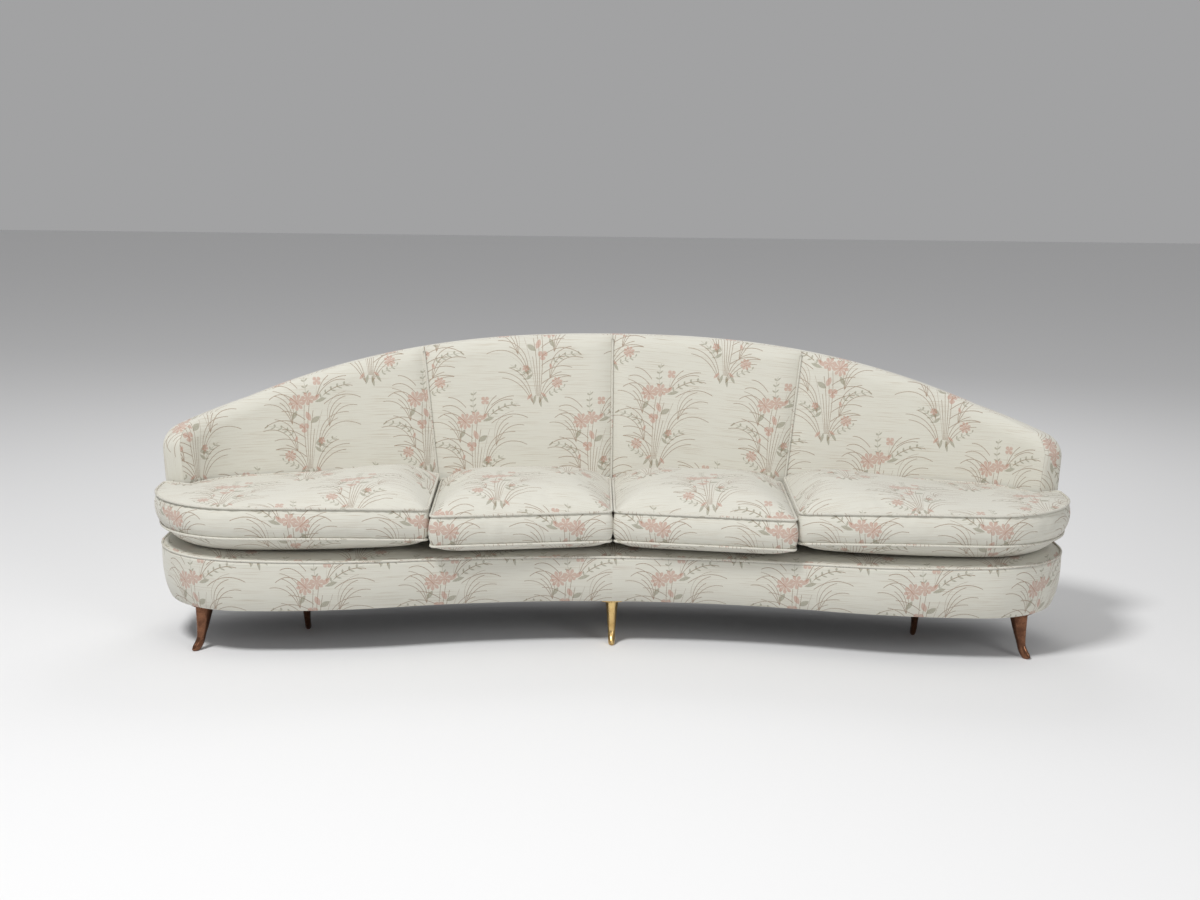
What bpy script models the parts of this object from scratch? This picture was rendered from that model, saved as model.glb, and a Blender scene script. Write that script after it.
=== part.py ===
"""A four-seat crescent sofa with an arched back, loose boxed cushions and cast brass legs.

The seat hollows towards the sitter and its ends swing forward, so almost every piece follows
one of two plan lines: the outline of the base, or the inside face of the back.
Lengths are in metres. X runs along the sofa, Y to the back and Z up.
The sitter looks along -Y, and the floor is at Z = 0.
"""
import math

import bmesh
import bpy
import numpy as np
from mathutils import Vector

# Plan of the base, worked round from the middle of the front to the middle of the back.
base_half_width = 1.423
front_hollow_radius = 2.35
front_hollow_depth = 0.158
front_corner_radius = 0.293
side_length = 0.085
back_bow_depth = 0.196

# Heights of the base: the level lower edge, and an upper edge that climbs to the ends.
leg_height = 0.140
apron_height = 0.148
apron_climb = 0.018
climb_reach_share = 0.843
rail_drop = 0.026

# The apron leans in towards its foot on a full curve.
apron_tuck = 0.025
apron_profile_shares = ((0.0, 1.0), (0.10, 0.66), (0.32, 0.30), (0.64, 0.08), (1.0, 0.0))

# The back: its inside face is laid out at the height of the cushions and leans back from there,
# less towards the arms. Its outside face runs straight from the base up to the border's width.
cushion_level = 0.460
seat_depth = 0.545
back_foot_depth = 0.121
arm_inside_inset = 0.063
arm_front_place = 0.193
inside_corner_radius = 0.31
inside_end_heading = math.radians(65.0)
inside_lean = math.tan(math.radians(12.5))
arm_lean = math.tan(math.radians(7.0))
border_width = 0.075
back_height = 0.911
arm_height = 0.640
arch_power = 2.43
arm_corner_radius = 0.056

# Covers, border and welts.
cover_thickness = 0.008
border_depth = 0.008
border_crown = 0.003
border_edge = 0.003
border_shoulder_share = 0.10
border_fall = 0.012
welt_radius = 0.004
seam_draw = 0.0095
back_crown = 0.010
panel_fill_power = 4

# Layers inside the back, as shares of its thickness from the inside face.
back_pad_share = 0.335
back_strap_shares = (0.358, 0.375)
back_frame_share = 0.381

# Where the two outer seams of the inside back run, as shares of its half length.
seam_foot_share = 0.395
seam_head_share = 0.431

# Timber of the base and the back.
rail_thickness = 0.034
strap_rabbet_width = 0.012
strap_rabbet_depth = 0.004
cross_rail_width = 0.045
cross_rail_drop = 0.003
inner_cross_rail_share = 0.344
sill_height = 0.058
top_rail_height = 0.055
joint_gap_share = 0.003
post_width = 0.040
arm_post_width = 0.045
frame_setback = 0.004
outer_post_share = 0.70

# Webbing of the seat and the back.
strap_width = 0.060
strap_thickness = 0.0025
strap_bearing_slack = 0.008
strap_end_gap = 0.0015
seat_strap_count = 13
seat_strap_span_share = 0.78
seat_strap_sag = 0.010
seat_crosswise_shares = (0.27, 0.50, 0.73)
back_strap_count = 16
back_strap_end_share = 0.90
back_crosswise_shares = (0.45,)

# Seat deck.
deck_crown = 0.015
deck_crown_width = 0.085
deck_run_shares = ((0.35, 0.3), (1.0, 0.6))
deck_side_share = 0.5
deck_cloth_thickness = 0.0015
back_pad_drop = 0.024

# Loose cushions.
cushion_height = 0.094
cushion_crown = 0.060
cushion_crown_reach = 0.16
cushion_belly = 0.035
cushion_belly_reach = 0.10
cushion_swell_power = 2.4
end_seam_lift = 0.018
end_seam_lift_reach = 0.45
cushion_overhang = 0.014
middle_overhang = 0.010
middle_corner_overhang = 0.038
cushion_gap = 0.0085
cushion_split_front_share = 0.3955
cushion_split_back_share = 0.4040
cushion_corner = 0.022
cushion_low_seam_inset = 0.0052
cushion_high_seam_inset = 0.0050
cushion_wall_bulge = 0.0035
cushion_welt_inset = 0.0005
cushion_back_clearance = 0.002

# Cast brass legs, each with a plate on top of it, screwed up to a block.
leg_plate_thickness = 0.003
leg_plate_length = 0.074
leg_plate_width = 0.070
leg_plate_power = 6.0
leg_root_height = 0.001
leg_block_depth = 0.075
leg_block_width = 0.110
leg_block_height = 0.050
leg_edge_inset = 0.005
rear_leg_inset = 0.012
corner_leg_turn = math.radians(35.0)
corner_leg_splay = math.radians(40.0)
side_leg_share = 0.6866
side_leg_depth = 0.170
dust_cloth_thickness = 0.0012
dust_cloth_inset = 0.010

# Side view of a leg from its foot up: height, toe side, heel side and width.
# The toe side is measured forward of the leg's vertical front edge.
leg_top_depth = 0.066
leg_top_width = 0.034
leg_toe_reach = 0.021
leg_height_shares = (0.0, 0.035, 0.11, 0.21, 0.32, 0.50, 0.74, 1.0)
leg_toe_shares = (0.55, 0.95, 0.78, 0.28, -0.04, -0.10, -0.05, 0.0)
leg_heel_shares = (0.10, 0.19, 0.32, 0.42, 0.485, 0.64, 0.82, 1.0)
leg_width_shares = (0.32, 0.47, 0.53, 0.545, 0.57, 0.66, 0.80, 1.0)

# Gaps that keep neighbours from touching.
touch = 0.0003
rub = 0.0006

# Facets along the plan lines and round the small sections.
hollow_steps, shoulder_steps, corner_steps, rear_corner_steps, back_steps = 5, 4, 7, 5, 7
arm_corner_steps, arm_front_steps = 4, 3
middle_cushion_steps, end_cushion_steps = 8, (13, 3)
leg_sides = 12
soft_edge = math.radians(40.0)


def clear_scene():
    for old in list(bpy.data.objects):
        bpy.data.objects.remove(old)


def finish(name, colour, roughness, metallic=0.0):
    """A material with one colour, roughness and metallic value."""
    made = bpy.data.materials.new(name)
    made.use_nodes = True
    shader = made.node_tree.nodes["Principled BSDF"]
    shader.inputs["Base Color"].default_value = (*colour, 1.0)
    shader.inputs["Roughness"].default_value = roughness
    shader.inputs["Metallic"].default_value = metallic
    return made


def add_object(name, data, material, parent):
    made = bpy.data.objects.new(name, data)
    data.materials.append(material.copy())
    made.parent = parent
    bpy.context.collection.objects.link(made)
    return made


def mesh_object(name, bm, material, parent, smooth_angle=None):
    """Turn a bmesh into an object, with its faces pointing out."""
    bmesh.ops.recalc_face_normals(bm, faces=bm.faces)
    data = bpy.data.meshes.new(name)
    bm.to_mesh(data)
    bm.free()
    if smooth_angle is not None:
        data.shade_smooth()
        data.set_sharp_from_angle(angle=smooth_angle)
    return add_object(name, data, material, parent)


def add_loft(bm, sections, closed=False):
    """Skin a row of closed sections, one row of quads between two neighbours.

    A closed loft runs back to its first section. An open one gets an end face on each end.
    """
    rows = [[bm.verts.new(point) for point in section] for section in sections]
    pairs = list(zip(rows, rows[1:]))
    if closed:
        pairs.append((rows[-1], rows[0]))
    else:
        bm.faces.new(rows[0])
        bm.faces.new(rows[-1])
    for one, other in pairs:
        for k in range(len(one)):
            follower = (k + 1) % len(one)
            bm.faces.new((one[k], one[follower], other[follower], other[k]))


def loft(name, sections, material, parent, closed=False, smooth_angle=soft_edge):
    bm = bmesh.new()
    add_loft(bm, sections, closed)
    return mesh_object(name, bm, material, parent, smooth_angle)


def add_prism(bm, outline, low, high):
    """Draw a flat outline at height low and extrude it up to height high."""
    corners = [bm.verts.new((x, y, low)) for x, y in outline]
    floor = bm.faces.new(corners)
    grown = bmesh.ops.extrude_face_region(bm, geom=[floor])
    lifted = [item for item in grown["geom"] if isinstance(item, bmesh.types.BMVert)]
    bmesh.ops.translate(bm, verts=lifted, vec=(0, 0, high - low))


def prism(name, outline, low, high, material, parent):
    bm = bmesh.new()
    add_prism(bm, outline, low, high)
    return mesh_object(name, bm, material, parent)


def tube_data(name, paths, radius, cyclic):
    """Round welts along paths of points, as one curve with a bevel and filled ends."""
    data = bpy.data.curves.new(name, "CURVE")
    data.dimensions = "3D"
    data.bevel_depth = radius
    data.bevel_resolution = 1
    data.use_fill_caps = True
    for path in paths:
        spline = data.splines.new("POLY")
        spline.points.add(len(path) - 1)
        for point, place in zip(spline.points, path):
            point.co = (*place, 1.0)
        spline.use_cyclic_u = cyclic
    return data


def mat(name, upper, lower, kept, material, parent):
    """An open mat of crossing straps: two grids of points, and the cells between that it keeps.

    Each kept cell has an upper and a lower face, and a wall where its neighbour is open.
    """
    bm = bmesh.new()
    top = [[bm.verts.new(point) for point in row] for row in upper]
    foot = [[bm.verts.new(point) for point in row] for row in lower]
    rows, columns = kept.shape
    padded = np.pad(kept, 1)
    for i, j in zip(*np.nonzero(kept)):
        ring = ((i, j), (i + 1, j), (i + 1, j + 1), (i, j + 1))
        bm.faces.new([top[r][c] for r, c in ring])
        bm.faces.new([foot[r][c] for r, c in reversed(ring)])
        beside = (padded[i + 1, j], padded[i + 2, j + 1], padded[i + 1, j + 2], padded[i, j + 1])
        for k, filled in enumerate(beside):
            if not filled:
                (r0, c0), (r1, c1) = ring[k], ring[(k + 1) % len(ring)]
                bm.faces.new((top[r0][c0], foot[r0][c0], foot[r1][c1], top[r1][c1]))
    return mesh_object(name, bm, material, parent)


def walk(start, heading, runs):
    """Follow straight runs and arcs that flow into each other.

    Each run is a radius, a turn to the left (minus is to the right) and a number of steps.
    Where the turn is zero the first number is the length of a straight run.
    The rows returned hold x, y and the outward normal, which lies to the right of the way.
    """
    x, y = start
    rows = [(x, y, math.sin(heading), -math.cos(heading))]
    for size, turn, steps in runs:
        for step in range(1, steps + 1):
            angle = heading + turn * step / steps
            if turn:
                swing = math.copysign(size, turn)
                px = x + swing * (math.sin(angle) - math.sin(heading))
                py = y - swing * (math.cos(angle) - math.cos(heading))
            else:
                px = x + size * step / steps * math.cos(heading)
                py = y + size * step / steps * math.sin(heading)
            rows.append((px, py, math.sin(angle), -math.cos(angle)))
        x, y = rows[-1][:2]
        heading += turn
    return np.array(rows)


def two_arcs(across, deep):
    """The turn that two arcs share when they meet smoothly, and the distance of their centres.

    Their ends lie across and deep apart, and each arc starts or ends parallel to across.
    """
    turn = 2 * math.atan(deep / across)
    return turn, across / math.sin(turn)


def mirrored(line):
    """Both halves of a right-hand line that starts on the middle plane."""
    left = line[:0:-1] * np.array([-1, 1, -1, 1])
    return np.concatenate([left, line])


def offset(line, distance):
    """Plan points of a line moved outward by a distance."""
    return line[:, :2] + line[:, 2:] * np.asarray(distance).reshape(-1, 1)


# The base outline closes on itself, because its second arcs are worked out from its first.
# Its rear corners take up what the seat and the back leave of its depth.
quarter = math.pi / 2
rear_corner_radius = (seat_depth + back_foot_depth + front_hollow_depth
                      - front_corner_radius - side_length - back_bow_depth)
hollow_turn, hollow_reach = two_arcs(base_half_width - front_corner_radius, front_hollow_depth)
shoulder_radius = hollow_reach - front_hollow_radius
back_turn, back_reach = two_arcs(base_half_width - rear_corner_radius, back_bow_depth)
base_half = walk((0, 0), 0, (
    (front_hollow_radius, -hollow_turn, hollow_steps),
    (shoulder_radius, hollow_turn, shoulder_steps),
    (front_corner_radius, quarter, corner_steps),
    (side_length, 0, 1),
    (rear_corner_radius, quarter - back_turn, rear_corner_steps),
    (back_reach + rear_corner_radius, back_turn, back_steps)))
side_station = hollow_steps + shoulder_steps + corner_steps + 1
front_half = base_half[:side_station + 1]
base_ring = np.concatenate([base_half, base_half[-2:0:-1] * np.array([-1, 1, -1, 1])])

# The outside of the back is the rear of that outline, and the inside face has arcs of its own.
outside_line = base_half[:side_station - 1:-1]
arm_inside_place = base_half_width - arm_inside_inset
corner_across = arm_inside_place - inside_corner_radius * math.sin(inside_end_heading)
corner_deep = (seat_depth - arm_front_place
               - inside_corner_radius * (1 - math.cos(inside_end_heading)))
inside_back_turn, inside_reach = two_arcs(corner_across, corner_deep)
inside_radius = inside_reach + inside_corner_radius
inside_corner_turn = inside_end_heading - inside_back_turn
inside_line = walk((0, seat_depth), 0, (
    (inside_radius, -inside_back_turn, back_steps),
    (inside_corner_radius, -inside_corner_turn, rear_corner_steps)))
inside_line[:, 2:] *= -1
inside_back_length = inside_radius * inside_back_turn
inside_length = inside_back_length + inside_corner_radius * inside_corner_turn
back_share = inside_back_length / inside_length
station_shares = np.concatenate([
    np.linspace(0, back_share, back_steps + 1),
    np.linspace(back_share, 1, rear_corner_steps + 1)[1:]])

apron_top = leg_height + apron_height
rail_foot = leg_height + dust_cloth_thickness + touch
rail_top = apron_top - rail_drop
climb_reach = base_half_width * climb_reach_share


def climb(x):
    """How far the seat's edge has risen at x: a shallow curve, level past its reach."""
    return apron_climb * np.minimum(np.abs(x) / climb_reach, 1.0) ** 2


def arch_height(across):
    """Top of the back at a place on the inside line: an arch that is flattest in the middle."""
    drop = back_height - arm_height
    return back_height - drop * (np.abs(across) / arm_inside_place) ** arch_power


# How far each station of the two faces moves for each unit of height.
station_rise = arch_height(inside_line[:, 0])
station_lean = inside_lean + (arm_lean - inside_lean) * station_shares ** 2
border_line = offset(inside_line, station_lean * (station_rise - cushion_level) + border_width)
base_spread = border_line - outside_line[:, :2]
inside_slope = inside_line[:, 2:] * station_lean[:, None]
outside_slope = base_spread / (station_rise - border_fall - apron_top)[:, None]
arm_spread = station_lean[-1] * (station_rise[-1] - cushion_level)
facing_across = border_line[-1] - offset(inside_line[-1:], arm_spread)[0]
facing_across /= np.linalg.norm(facing_across)
facing_ahead = np.array([facing_across[1], -facing_across[0]])


def along_line(share, rows):
    """Values between the stations of the back, at shares of the way to the arm's front."""
    return np.stack([np.interp(share, station_shares, column) for column in rows.T], -1)


def back_faces(share, height):
    """Plan points of both faces of the back at a signed share and a height.

    Past a share of 1 the faces run straight on, ahead of the arm's front.
    """
    share = np.abs(share)
    height = np.asarray(height)[..., None]
    ahead = np.maximum(share - 1, 0)[..., None] * inside_length * facing_ahead
    near = (along_line(share, inside_line[:, :2])
            + along_line(share, inside_slope) * (height - cushion_level) + ahead)
    far = (along_line(share, outside_line[:, :2])
           + along_line(share, outside_slope) * (height - apron_top) + ahead)
    return near, far


def back_point(share, height, depth_share):
    """A point of the back: along it, up it, and through it from the inside face (0) to 1."""
    share, height, depth_share = np.broadcast_arrays(
        *(np.asarray(value, float) for value in (share, height, depth_share)))
    near, far = back_faces(share, height)
    spot = near + (far - near) * depth_share[..., None]
    spot[..., 0] *= np.where(share < 0, -1, 1)
    return np.concatenate([spot, height[..., None]], -1)


band_foot = apron_top + apron_climb + welt_radius + touch


def fallen(share, height, across):
    """A height after the border's tilt: its outer edge lies lower, and its foot stays level."""
    crest = edge_at(share, 0.0)
    return height - border_fall * across * (height - band_foot) / (crest - band_foot)


def square_point(share, height, depth):
    """A point a depth behind the inside face, square to it in plan, under the border's tilt."""
    height = fallen(share, height, max(depth, 0.0) / square_thickness(share, height))
    near = back_faces(share, height)[0]
    spot = near + along_line(np.abs(share), inside_line[:, 2:]) * depth
    return np.array([spot[0] * (-1 if share < 0 else 1), spot[1], height])


def square_thickness(share, height):
    """Thickness of the back square to its inside face."""
    near, far = back_faces(share, height)
    return float(((far - near) * along_line(np.abs(share), inside_line[:, 2:])).sum())


def depth_share_in(share, height, depth):
    """The share of the thickness that a depth behind the inside face makes."""
    near, far = back_faces(share, height)
    return depth / np.linalg.norm(far - near, axis=-1)


def depth_share_out(share, height, depth):
    """The same for a depth in front of the outside face."""
    return 1 - depth_share_in(share, height, depth)


def edge_at(share, inset):
    """Height of the line that runs an inset inside the arched edge and its arm corner."""
    share = np.abs(share)
    crest = np.interp(share, station_shares, station_rise)
    past = share * inside_length - (inside_length - arm_corner_radius)
    radius = arm_corner_radius - inset
    past = np.clip(past, 0, radius)
    return crest - arm_corner_radius + np.sqrt(radius ** 2 - past ** 2)


corner_angles = np.linspace(0, quarter, arm_corner_steps + 1)


def corner_shares(inset):
    """Shares along the arm's rounded upper corner, for a line that runs an inset inside it."""
    reach = (arm_corner_radius - inset) * np.sin(corner_angles)
    return 1 - (arm_corner_radius - reach) / inside_length


def both_sides(shares):
    """Signed shares from the left arm to the right from a right-hand row that starts at 0."""
    return np.concatenate([-shares[:0:-1], shares])


def edge_row(inset):
    """Signed shares and heights along the whole arched edge, with a row of points down each arm."""
    turned = corner_shares(inset)
    top = np.concatenate([station_shares[station_shares < turned[0]], turned])
    head = edge_at(turned[-1], inset)
    down = np.linspace(head, band_foot, arm_front_steps + 1)[1:]
    half_shares = np.concatenate([top, np.full(len(down), turned[-1])])
    half_heights = np.concatenate([edge_at(top, inset), down])
    return both_sides(half_shares), np.concatenate([half_heights[:0:-1], half_heights])


def between(low, high):
    """The station shares strictly between two shares, with both ends added."""
    inner = both_sides(station_shares)
    inner = inner[(inner > low + rub) & (inner < high - rub)]
    return np.concatenate([[low], inner, [high]])


def depth_on(plan, x):
    """Y of a right-hand plan row of points at a place x, on its straight facets."""
    order = np.argsort(plan[:, 0])
    return np.interp(np.abs(x), plan[order, 0], plan[order, 1])


clear_scene()
sofa = bpy.data.objects.new("sofa", None)
bpy.context.collection.objects.link(sofa)

cloth = finish("floral_cloth", (0.74, 0.72, 0.64), 0.85)
timber = finish("beech", (0.62, 0.44, 0.26), 0.6)
webbing = finish("jute_webbing", (0.50, 0.38, 0.22), 0.9)
padding = finish("padding", (0.72, 0.68, 0.58), 0.95)
lining = finish("black_lining", (0.03, 0.03, 0.03), 0.9)
brass = finish("cast_brass", (0.66, 0.47, 0.20), 0.32, 1.0)


# Base frame: rails bent to the outline, tapered outside like the apron, rabbeted for the straps.
def apron_face(x, low, high):
    """Heights and insets of the apron's face at x, with its ends cut to a low and a high level."""
    ups, tucks = np.array(apron_profile_shares).T
    rows = leg_height + (apron_top + climb(x) - leg_height) * ups
    heights = np.clip(rows, low, high)
    return heights, apron_tuck * np.interp(heights, rows, tucks)


def rail_sections(line):
    """Sections of a base rail along rows of the outline, outer face first."""
    inner = cover_thickness + touch + rail_thickness + apron_tuck
    sections = []
    for x, y, nx, ny in line:
        heights, insets = apron_face(x, rail_foot, rail_top)
        run = list(zip(insets + cover_thickness + touch, heights))
        run += [(inner - strap_rabbet_width, rail_top),
                (inner - strap_rabbet_width, rail_top - strap_rabbet_depth),
                (inner, rail_top - strap_rabbet_depth), (inner, rail_foot)]
        sections.append([(x - nx * inset, y - ny * inset, z) for inset, z in run])
    return sections


def part_of(line, first, last):
    """Rows of a line between two fractional stations, with the ends set on its facets."""
    stations = np.arange(len(line))
    inner = stations[(stations > first) & (stations < last)]
    places = np.concatenate([[first], inner, [last]])
    return np.stack([np.interp(places, stations, column) for column in line.T], -1)


corner_start = hollow_steps + shoulder_steps + 1
corner_end = side_station + rear_corner_steps - 1
full_front = mirrored(base_half[:corner_start + 1])
full_back = mirrored(base_half[:corner_end - 1:-1])
loft("front_rail", rail_sections(full_front), timber, sofa)
loft("back_rail", rail_sections(full_back), timber, sofa)
for side, name in ((-1, "end_rail_left"), (1, "end_rail_right")):
    end_line = part_of(base_half, corner_start + joint_gap_share, corner_end - joint_gap_share)
    loft(name, rail_sections(end_line * np.array([side, 1, side, 1])), timber, sofa)

# Cross rails between the front and back rails, cut to the rails' bent inner faces.
rail_inner_inset = cover_thickness + touch + rail_thickness + apron_tuck
front_inner = offset(front_half, -rail_inner_inset)
back_inner = offset(outside_line, -rail_inner_inset)
strap_seat = rail_top - strap_rabbet_depth
cross_rail_top = strap_seat - seat_strap_sag - cross_rail_drop
side_leg_place = base_half_width * side_leg_share
inner_cross_rail_place = base_half_width * inner_cross_rail_share
cross_rail_places = (-side_leg_place, -inner_cross_rail_place, 0.0,
                     inner_cross_rail_place, side_leg_place)
cross_names = ("cross_rail_far_left", "cross_rail_left", "cross_rail_middle",
               "cross_rail_right", "cross_rail_far_right")
for name, place in zip(cross_names, cross_rail_places):
    half = cross_rail_width / 2
    across = (place - half, place, place + half)
    outline = [(x, depth_on(front_inner, x) + rub) for x in across]
    outline += [(x, depth_on(back_inner, x) - rub) for x in reversed(across)]
    prism(name, outline, rail_foot + leg_block_height + touch, cross_rail_top, timber, sofa)


# Legs and their blocks, all set out from one place and heading for each leg.
def rail_block(line, station, heading):
    """Outline of a leg's block against a rail: its outer edge is cut to the rail's inner face."""
    edge = offset(line, -(rail_inner_inset + touch))
    run = np.concatenate([[0], np.cumsum(np.linalg.norm(np.diff(edge, axis=0), axis=1))])
    middle = np.interp(station, np.arange(len(run)), run)
    low, high = middle - leg_block_width / 2, middle + leg_block_width / 2
    marks = np.concatenate([[low], run[(run > low) & (run < high)], [high]])
    near = np.stack([np.interp(marks, run, column) for column in edge.T], -1)
    depth = np.array(heading) * leg_block_depth
    return [*near, near[-1] - depth, near[0] - depth]


def free_block(place, heading):
    """Outline of a block under a cross rail: a rectangle behind the leg's front edge."""
    behind = np.array(place) - np.array(heading) * leg_block_depth
    across = np.array([-heading[1], heading[0]]) * leg_block_width / 2
    return [place - across, place + across, behind + across, behind - across]


def leg_places():
    """Name, front edge place, outward heading and block outline of each leg."""
    foot_ring = offset(base_half, -(apron_tuck + leg_edge_inset))
    station = hollow_steps + shoulder_steps + corner_steps * corner_leg_turn / quarter
    corner = part_of(foot_ring, station, side_station)[0]
    rear_y = offset(outside_line[:1], -(apron_tuck + rear_leg_inset))[0, 1]
    near_front, near_back = mirrored(base_half[:3]), mirrored(outside_line[:3])
    places = [("front_middle", foot_ring[0], (0, -1), rail_block(near_front, 2, (0, -1))),
              ("rear_middle", (0, rear_y), (0, 1), rail_block(near_back, 2, (0, 1)))]
    for side, word in ((-1, "left"), (1, "right")):
        flip = np.array([side, 1])
        splay = np.array([math.sin(corner_leg_splay), -math.cos(corner_leg_splay)])
        outline = [point * flip for point in rail_block(base_half, station, splay)]
        places.append(("front_" + word, corner * flip, splay * flip, outline))
        spot = np.array([side * side_leg_place, side_leg_depth])
        places.append(("rear_" + word, spot, (0, 1), free_block(spot, (0, 1))))
    return places


cloth_top = rail_foot - touch
plate_top = leg_height - touch
leg_top = plate_top - leg_plate_thickness - leg_root_height


def oval(half_depth, half_width, middle, power=2.0):
    """Points round an oval, forward of its middle first. A higher power squares it."""
    angles = 2 * math.pi * np.arange(leg_sides) / leg_sides
    along = np.sign(np.cos(angles)) * np.abs(np.cos(angles)) ** (2 / power)
    across = np.sign(np.sin(angles)) * np.abs(np.sin(angles)) ** (2 / power)
    return np.column_stack([middle + half_depth * along, half_width * across])


def leg_mesh():
    """A sabre leg: oval sections that taper, lean and kick out into a toe, foot at Z = 0.

    Its top flares into the flat plate that is cast with it.
    """
    rings = []
    shares = zip(leg_height_shares, leg_toe_shares, leg_heel_shares, leg_width_shares)
    for up, toe, heel, wide in shares:
        front = leg_toe_reach * toe
        rear = -leg_top_depth * heel
        ring = oval((front - rear) / 2, leg_top_width * wide / 2, (front + rear) / 2)
        rings.append([(x, y, leg_top * up) for x, y in ring])
    plate = oval(leg_plate_length / 2, leg_plate_width / 2, -leg_plate_length / 2,
                 leg_plate_power)
    for height in (plate_top - leg_plate_thickness, plate_top):
        rings.append([(x, y, height) for x, y in plate])
    bm = bmesh.new()
    add_loft(bm, rings)
    bmesh.ops.recalc_face_normals(bm, faces=bm.faces)
    data = bpy.data.meshes.new("sabre_leg")
    bm.to_mesh(data)
    bm.free()
    data.shade_smooth()
    data.set_sharp_from_angle(angle=soft_edge)
    return data


leg_data = leg_mesh()
for word, place, heading, block_outline in leg_places():
    leg = add_object("leg_" + word, leg_data.copy(), brass, sofa)
    leg.location = (*place, 0)
    leg.rotation_euler = (0, 0, math.atan2(heading[1], heading[0]))
    prism("leg_block_" + word, block_outline, rail_foot, rail_foot + leg_block_height,
          timber, sofa)
prism("dust_cloth", offset(base_ring, -(apron_tuck + dust_cloth_inset)),
      leg_height, cloth_top, lining, sofa)


# Apron: a padded cover right round the base, and the welt along its upper edge.
def apron_sections():
    sections = []
    for x, y, nx, ny in base_ring:
        top = apron_top + climb(x) - welt_radius - touch
        heights, insets = apron_face(x, leg_height, top)
        outer = list(zip(insets, heights))
        inner = list(zip(insets + cover_thickness, heights))
        sections.append([(x - nx * inset, y - ny * inset, z) for inset, z in outer + inner[::-1]])
    return sections


loft("apron_cover", apron_sections(), cloth, sofa, closed=True)
apron_welt_inset = welt_radius / 2
apron_edge = offset(base_ring, -apron_welt_inset)
apron_path = [(x, y, apron_top + climb(x)) for x, y in apron_edge]
add_object("apron_welt", tube_data("apron_welt", [apron_path], welt_radius, True), cloth, sofa)

# Seat webbing: straps that run front to back in the rails' rabbets and sag between them,
# interlaced with crosswise straps.
def strap_edges(middles, half):
    """Both edges of each strap of a row."""
    return np.array([edge for middle in middles for edge in (middle - half, middle + half)])


def under_straps(marks, edges):
    """Which of the steps between marks lie under a strap, with both edges of each strap given."""
    middles = (marks[1:] + marks[:-1]) / 2
    return np.searchsorted(edges, middles) % 2 == 1


seat_strap_reach = base_half_width * seat_strap_span_share
seat_strap_places = np.linspace(-seat_strap_reach, seat_strap_reach, seat_strap_count)
strap_xs = strap_edges(seat_strap_places, strap_width / 2)
bearing = strap_rabbet_width - strap_end_gap
front_end = depth_on(front_inner, strap_xs) - bearing
back_end = depth_on(back_inner, strap_xs) + bearing
crosswise = strap_edges(seat_crosswise_shares,
                        strap_width / 2 / (seat_depth + front_hollow_depth))
runs = np.array([0.0, *crosswise, 1.0])
level_run = bearing + strap_bearing_slack
seat_rows = [np.column_stack([strap_xs, front_end, np.full(len(strap_xs), strap_seat + touch)])]
for along in runs:
    sag = seat_strap_sag * (1 - abs(2 * along - 1) ** 2)
    ys = front_end + level_run + (back_end - front_end - 2 * level_run) * along
    seat_rows.append(np.column_stack([strap_xs, ys, np.full(len(ys), strap_seat + touch - sag)]))
seat_rows.append(np.column_stack([strap_xs, back_end, seat_rows[0][:, 2]]))
seat_rows = np.stack(seat_rows, axis=1)
crossed = np.pad(under_straps(runs, crosswise), 1)
kept = under_straps(strap_xs, strap_xs)[:, None] | crossed
mat("seat_webbing", seat_rows + np.array([0, 0, strap_thickness]), seat_rows, kept,
    webbing, sofa)


# Seat deck: a firm pad on the straps and the rails, and the cloth over it.
def deck_rows(front_inset, back_inset, height):
    """Pairs of plan ends, one at the front edge and one at the foot of the inside back."""
    front = offset(part_of(base_half, 0, side_station - 1 + deck_side_share), -front_inset)
    steps = np.linspace(0, len(station_shares), len(front))
    shares = np.interp(steps, np.arange(len(station_shares) + 1),
                       [*station_shares, 1 + deck_edge_inset / inside_length])
    near = back_faces(shares, np.full(len(shares), height))[0]
    rear = near - along_line(shares, inside_line[:, 2:]) * back_inset
    left = np.array([-1, 1])
    return (np.concatenate([front[:0:-1] * left, front]),
            np.concatenate([rear[:0:-1] * left, rear]))


def deck_height(spot, edge_distance):
    """Height of the padded deck: it swells up behind its front edge and climbs to the ends."""
    swell = np.sin(np.minimum(edge_distance / deck_crown_width, 1.0) * quarter)
    return apron_top + climb(spot[..., 0]) + deck_crown * swell


def deck_sections(front_inset, drop, thickness):
    """Sections from the front edge to the back: an upper face, and a lower one under it."""
    front, rear = deck_rows(front_inset, rub, rail_top)
    sections = []
    for ahead, behind in zip(front, rear):
        length = np.linalg.norm(behind - ahead)
        runs = [0, *(min(near * deck_crown_width, far * length)
                     for near, far in deck_run_shares), length]
        spots = [ahead + (behind - ahead) * run / length for run in runs]
        upper = [(*spot, float(deck_height(spot, run)) - drop)
                 for spot, run in zip(spots, runs)]
        if thickness is None:
            lower = [(*spot, rail_top + touch) for spot in (spots[-1], spots[0])]
        else:
            lower = [(x, y, z - thickness) for x, y, z in reversed(upper)]
        sections.append(upper + lower)
    return sections


deck_edge_inset = apron_welt_inset + welt_radius + touch
pad_edge_inset = cover_thickness + welt_radius + touch
pad_drop = deck_cloth_thickness + touch
loft("seat_pad", deck_sections(pad_edge_inset, pad_drop + rub, None), padding, sofa)
loft("deck_cover", deck_sections(deck_edge_inset, 0, deck_cloth_thickness), cloth, sofa)


# Back frame: a sill on the base, posts, arm posts and an arched top rail, then upright straps.
def wall_sections(shares, low, high, near_share, far_depth):
    """Upright sections of a piece in the back, from a share of its thickness to a depth."""
    sections = []
    for share in shares:
        heights = np.array([low(share), high(share)])
        outer = depth_share_out(share, heights, far_depth)
        inner = back_point(share, heights, near_share)
        rear = back_point(share, heights, outer)
        sections.append([inner[0], inner[1], rear[1], rear[0]])
    return sections


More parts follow.
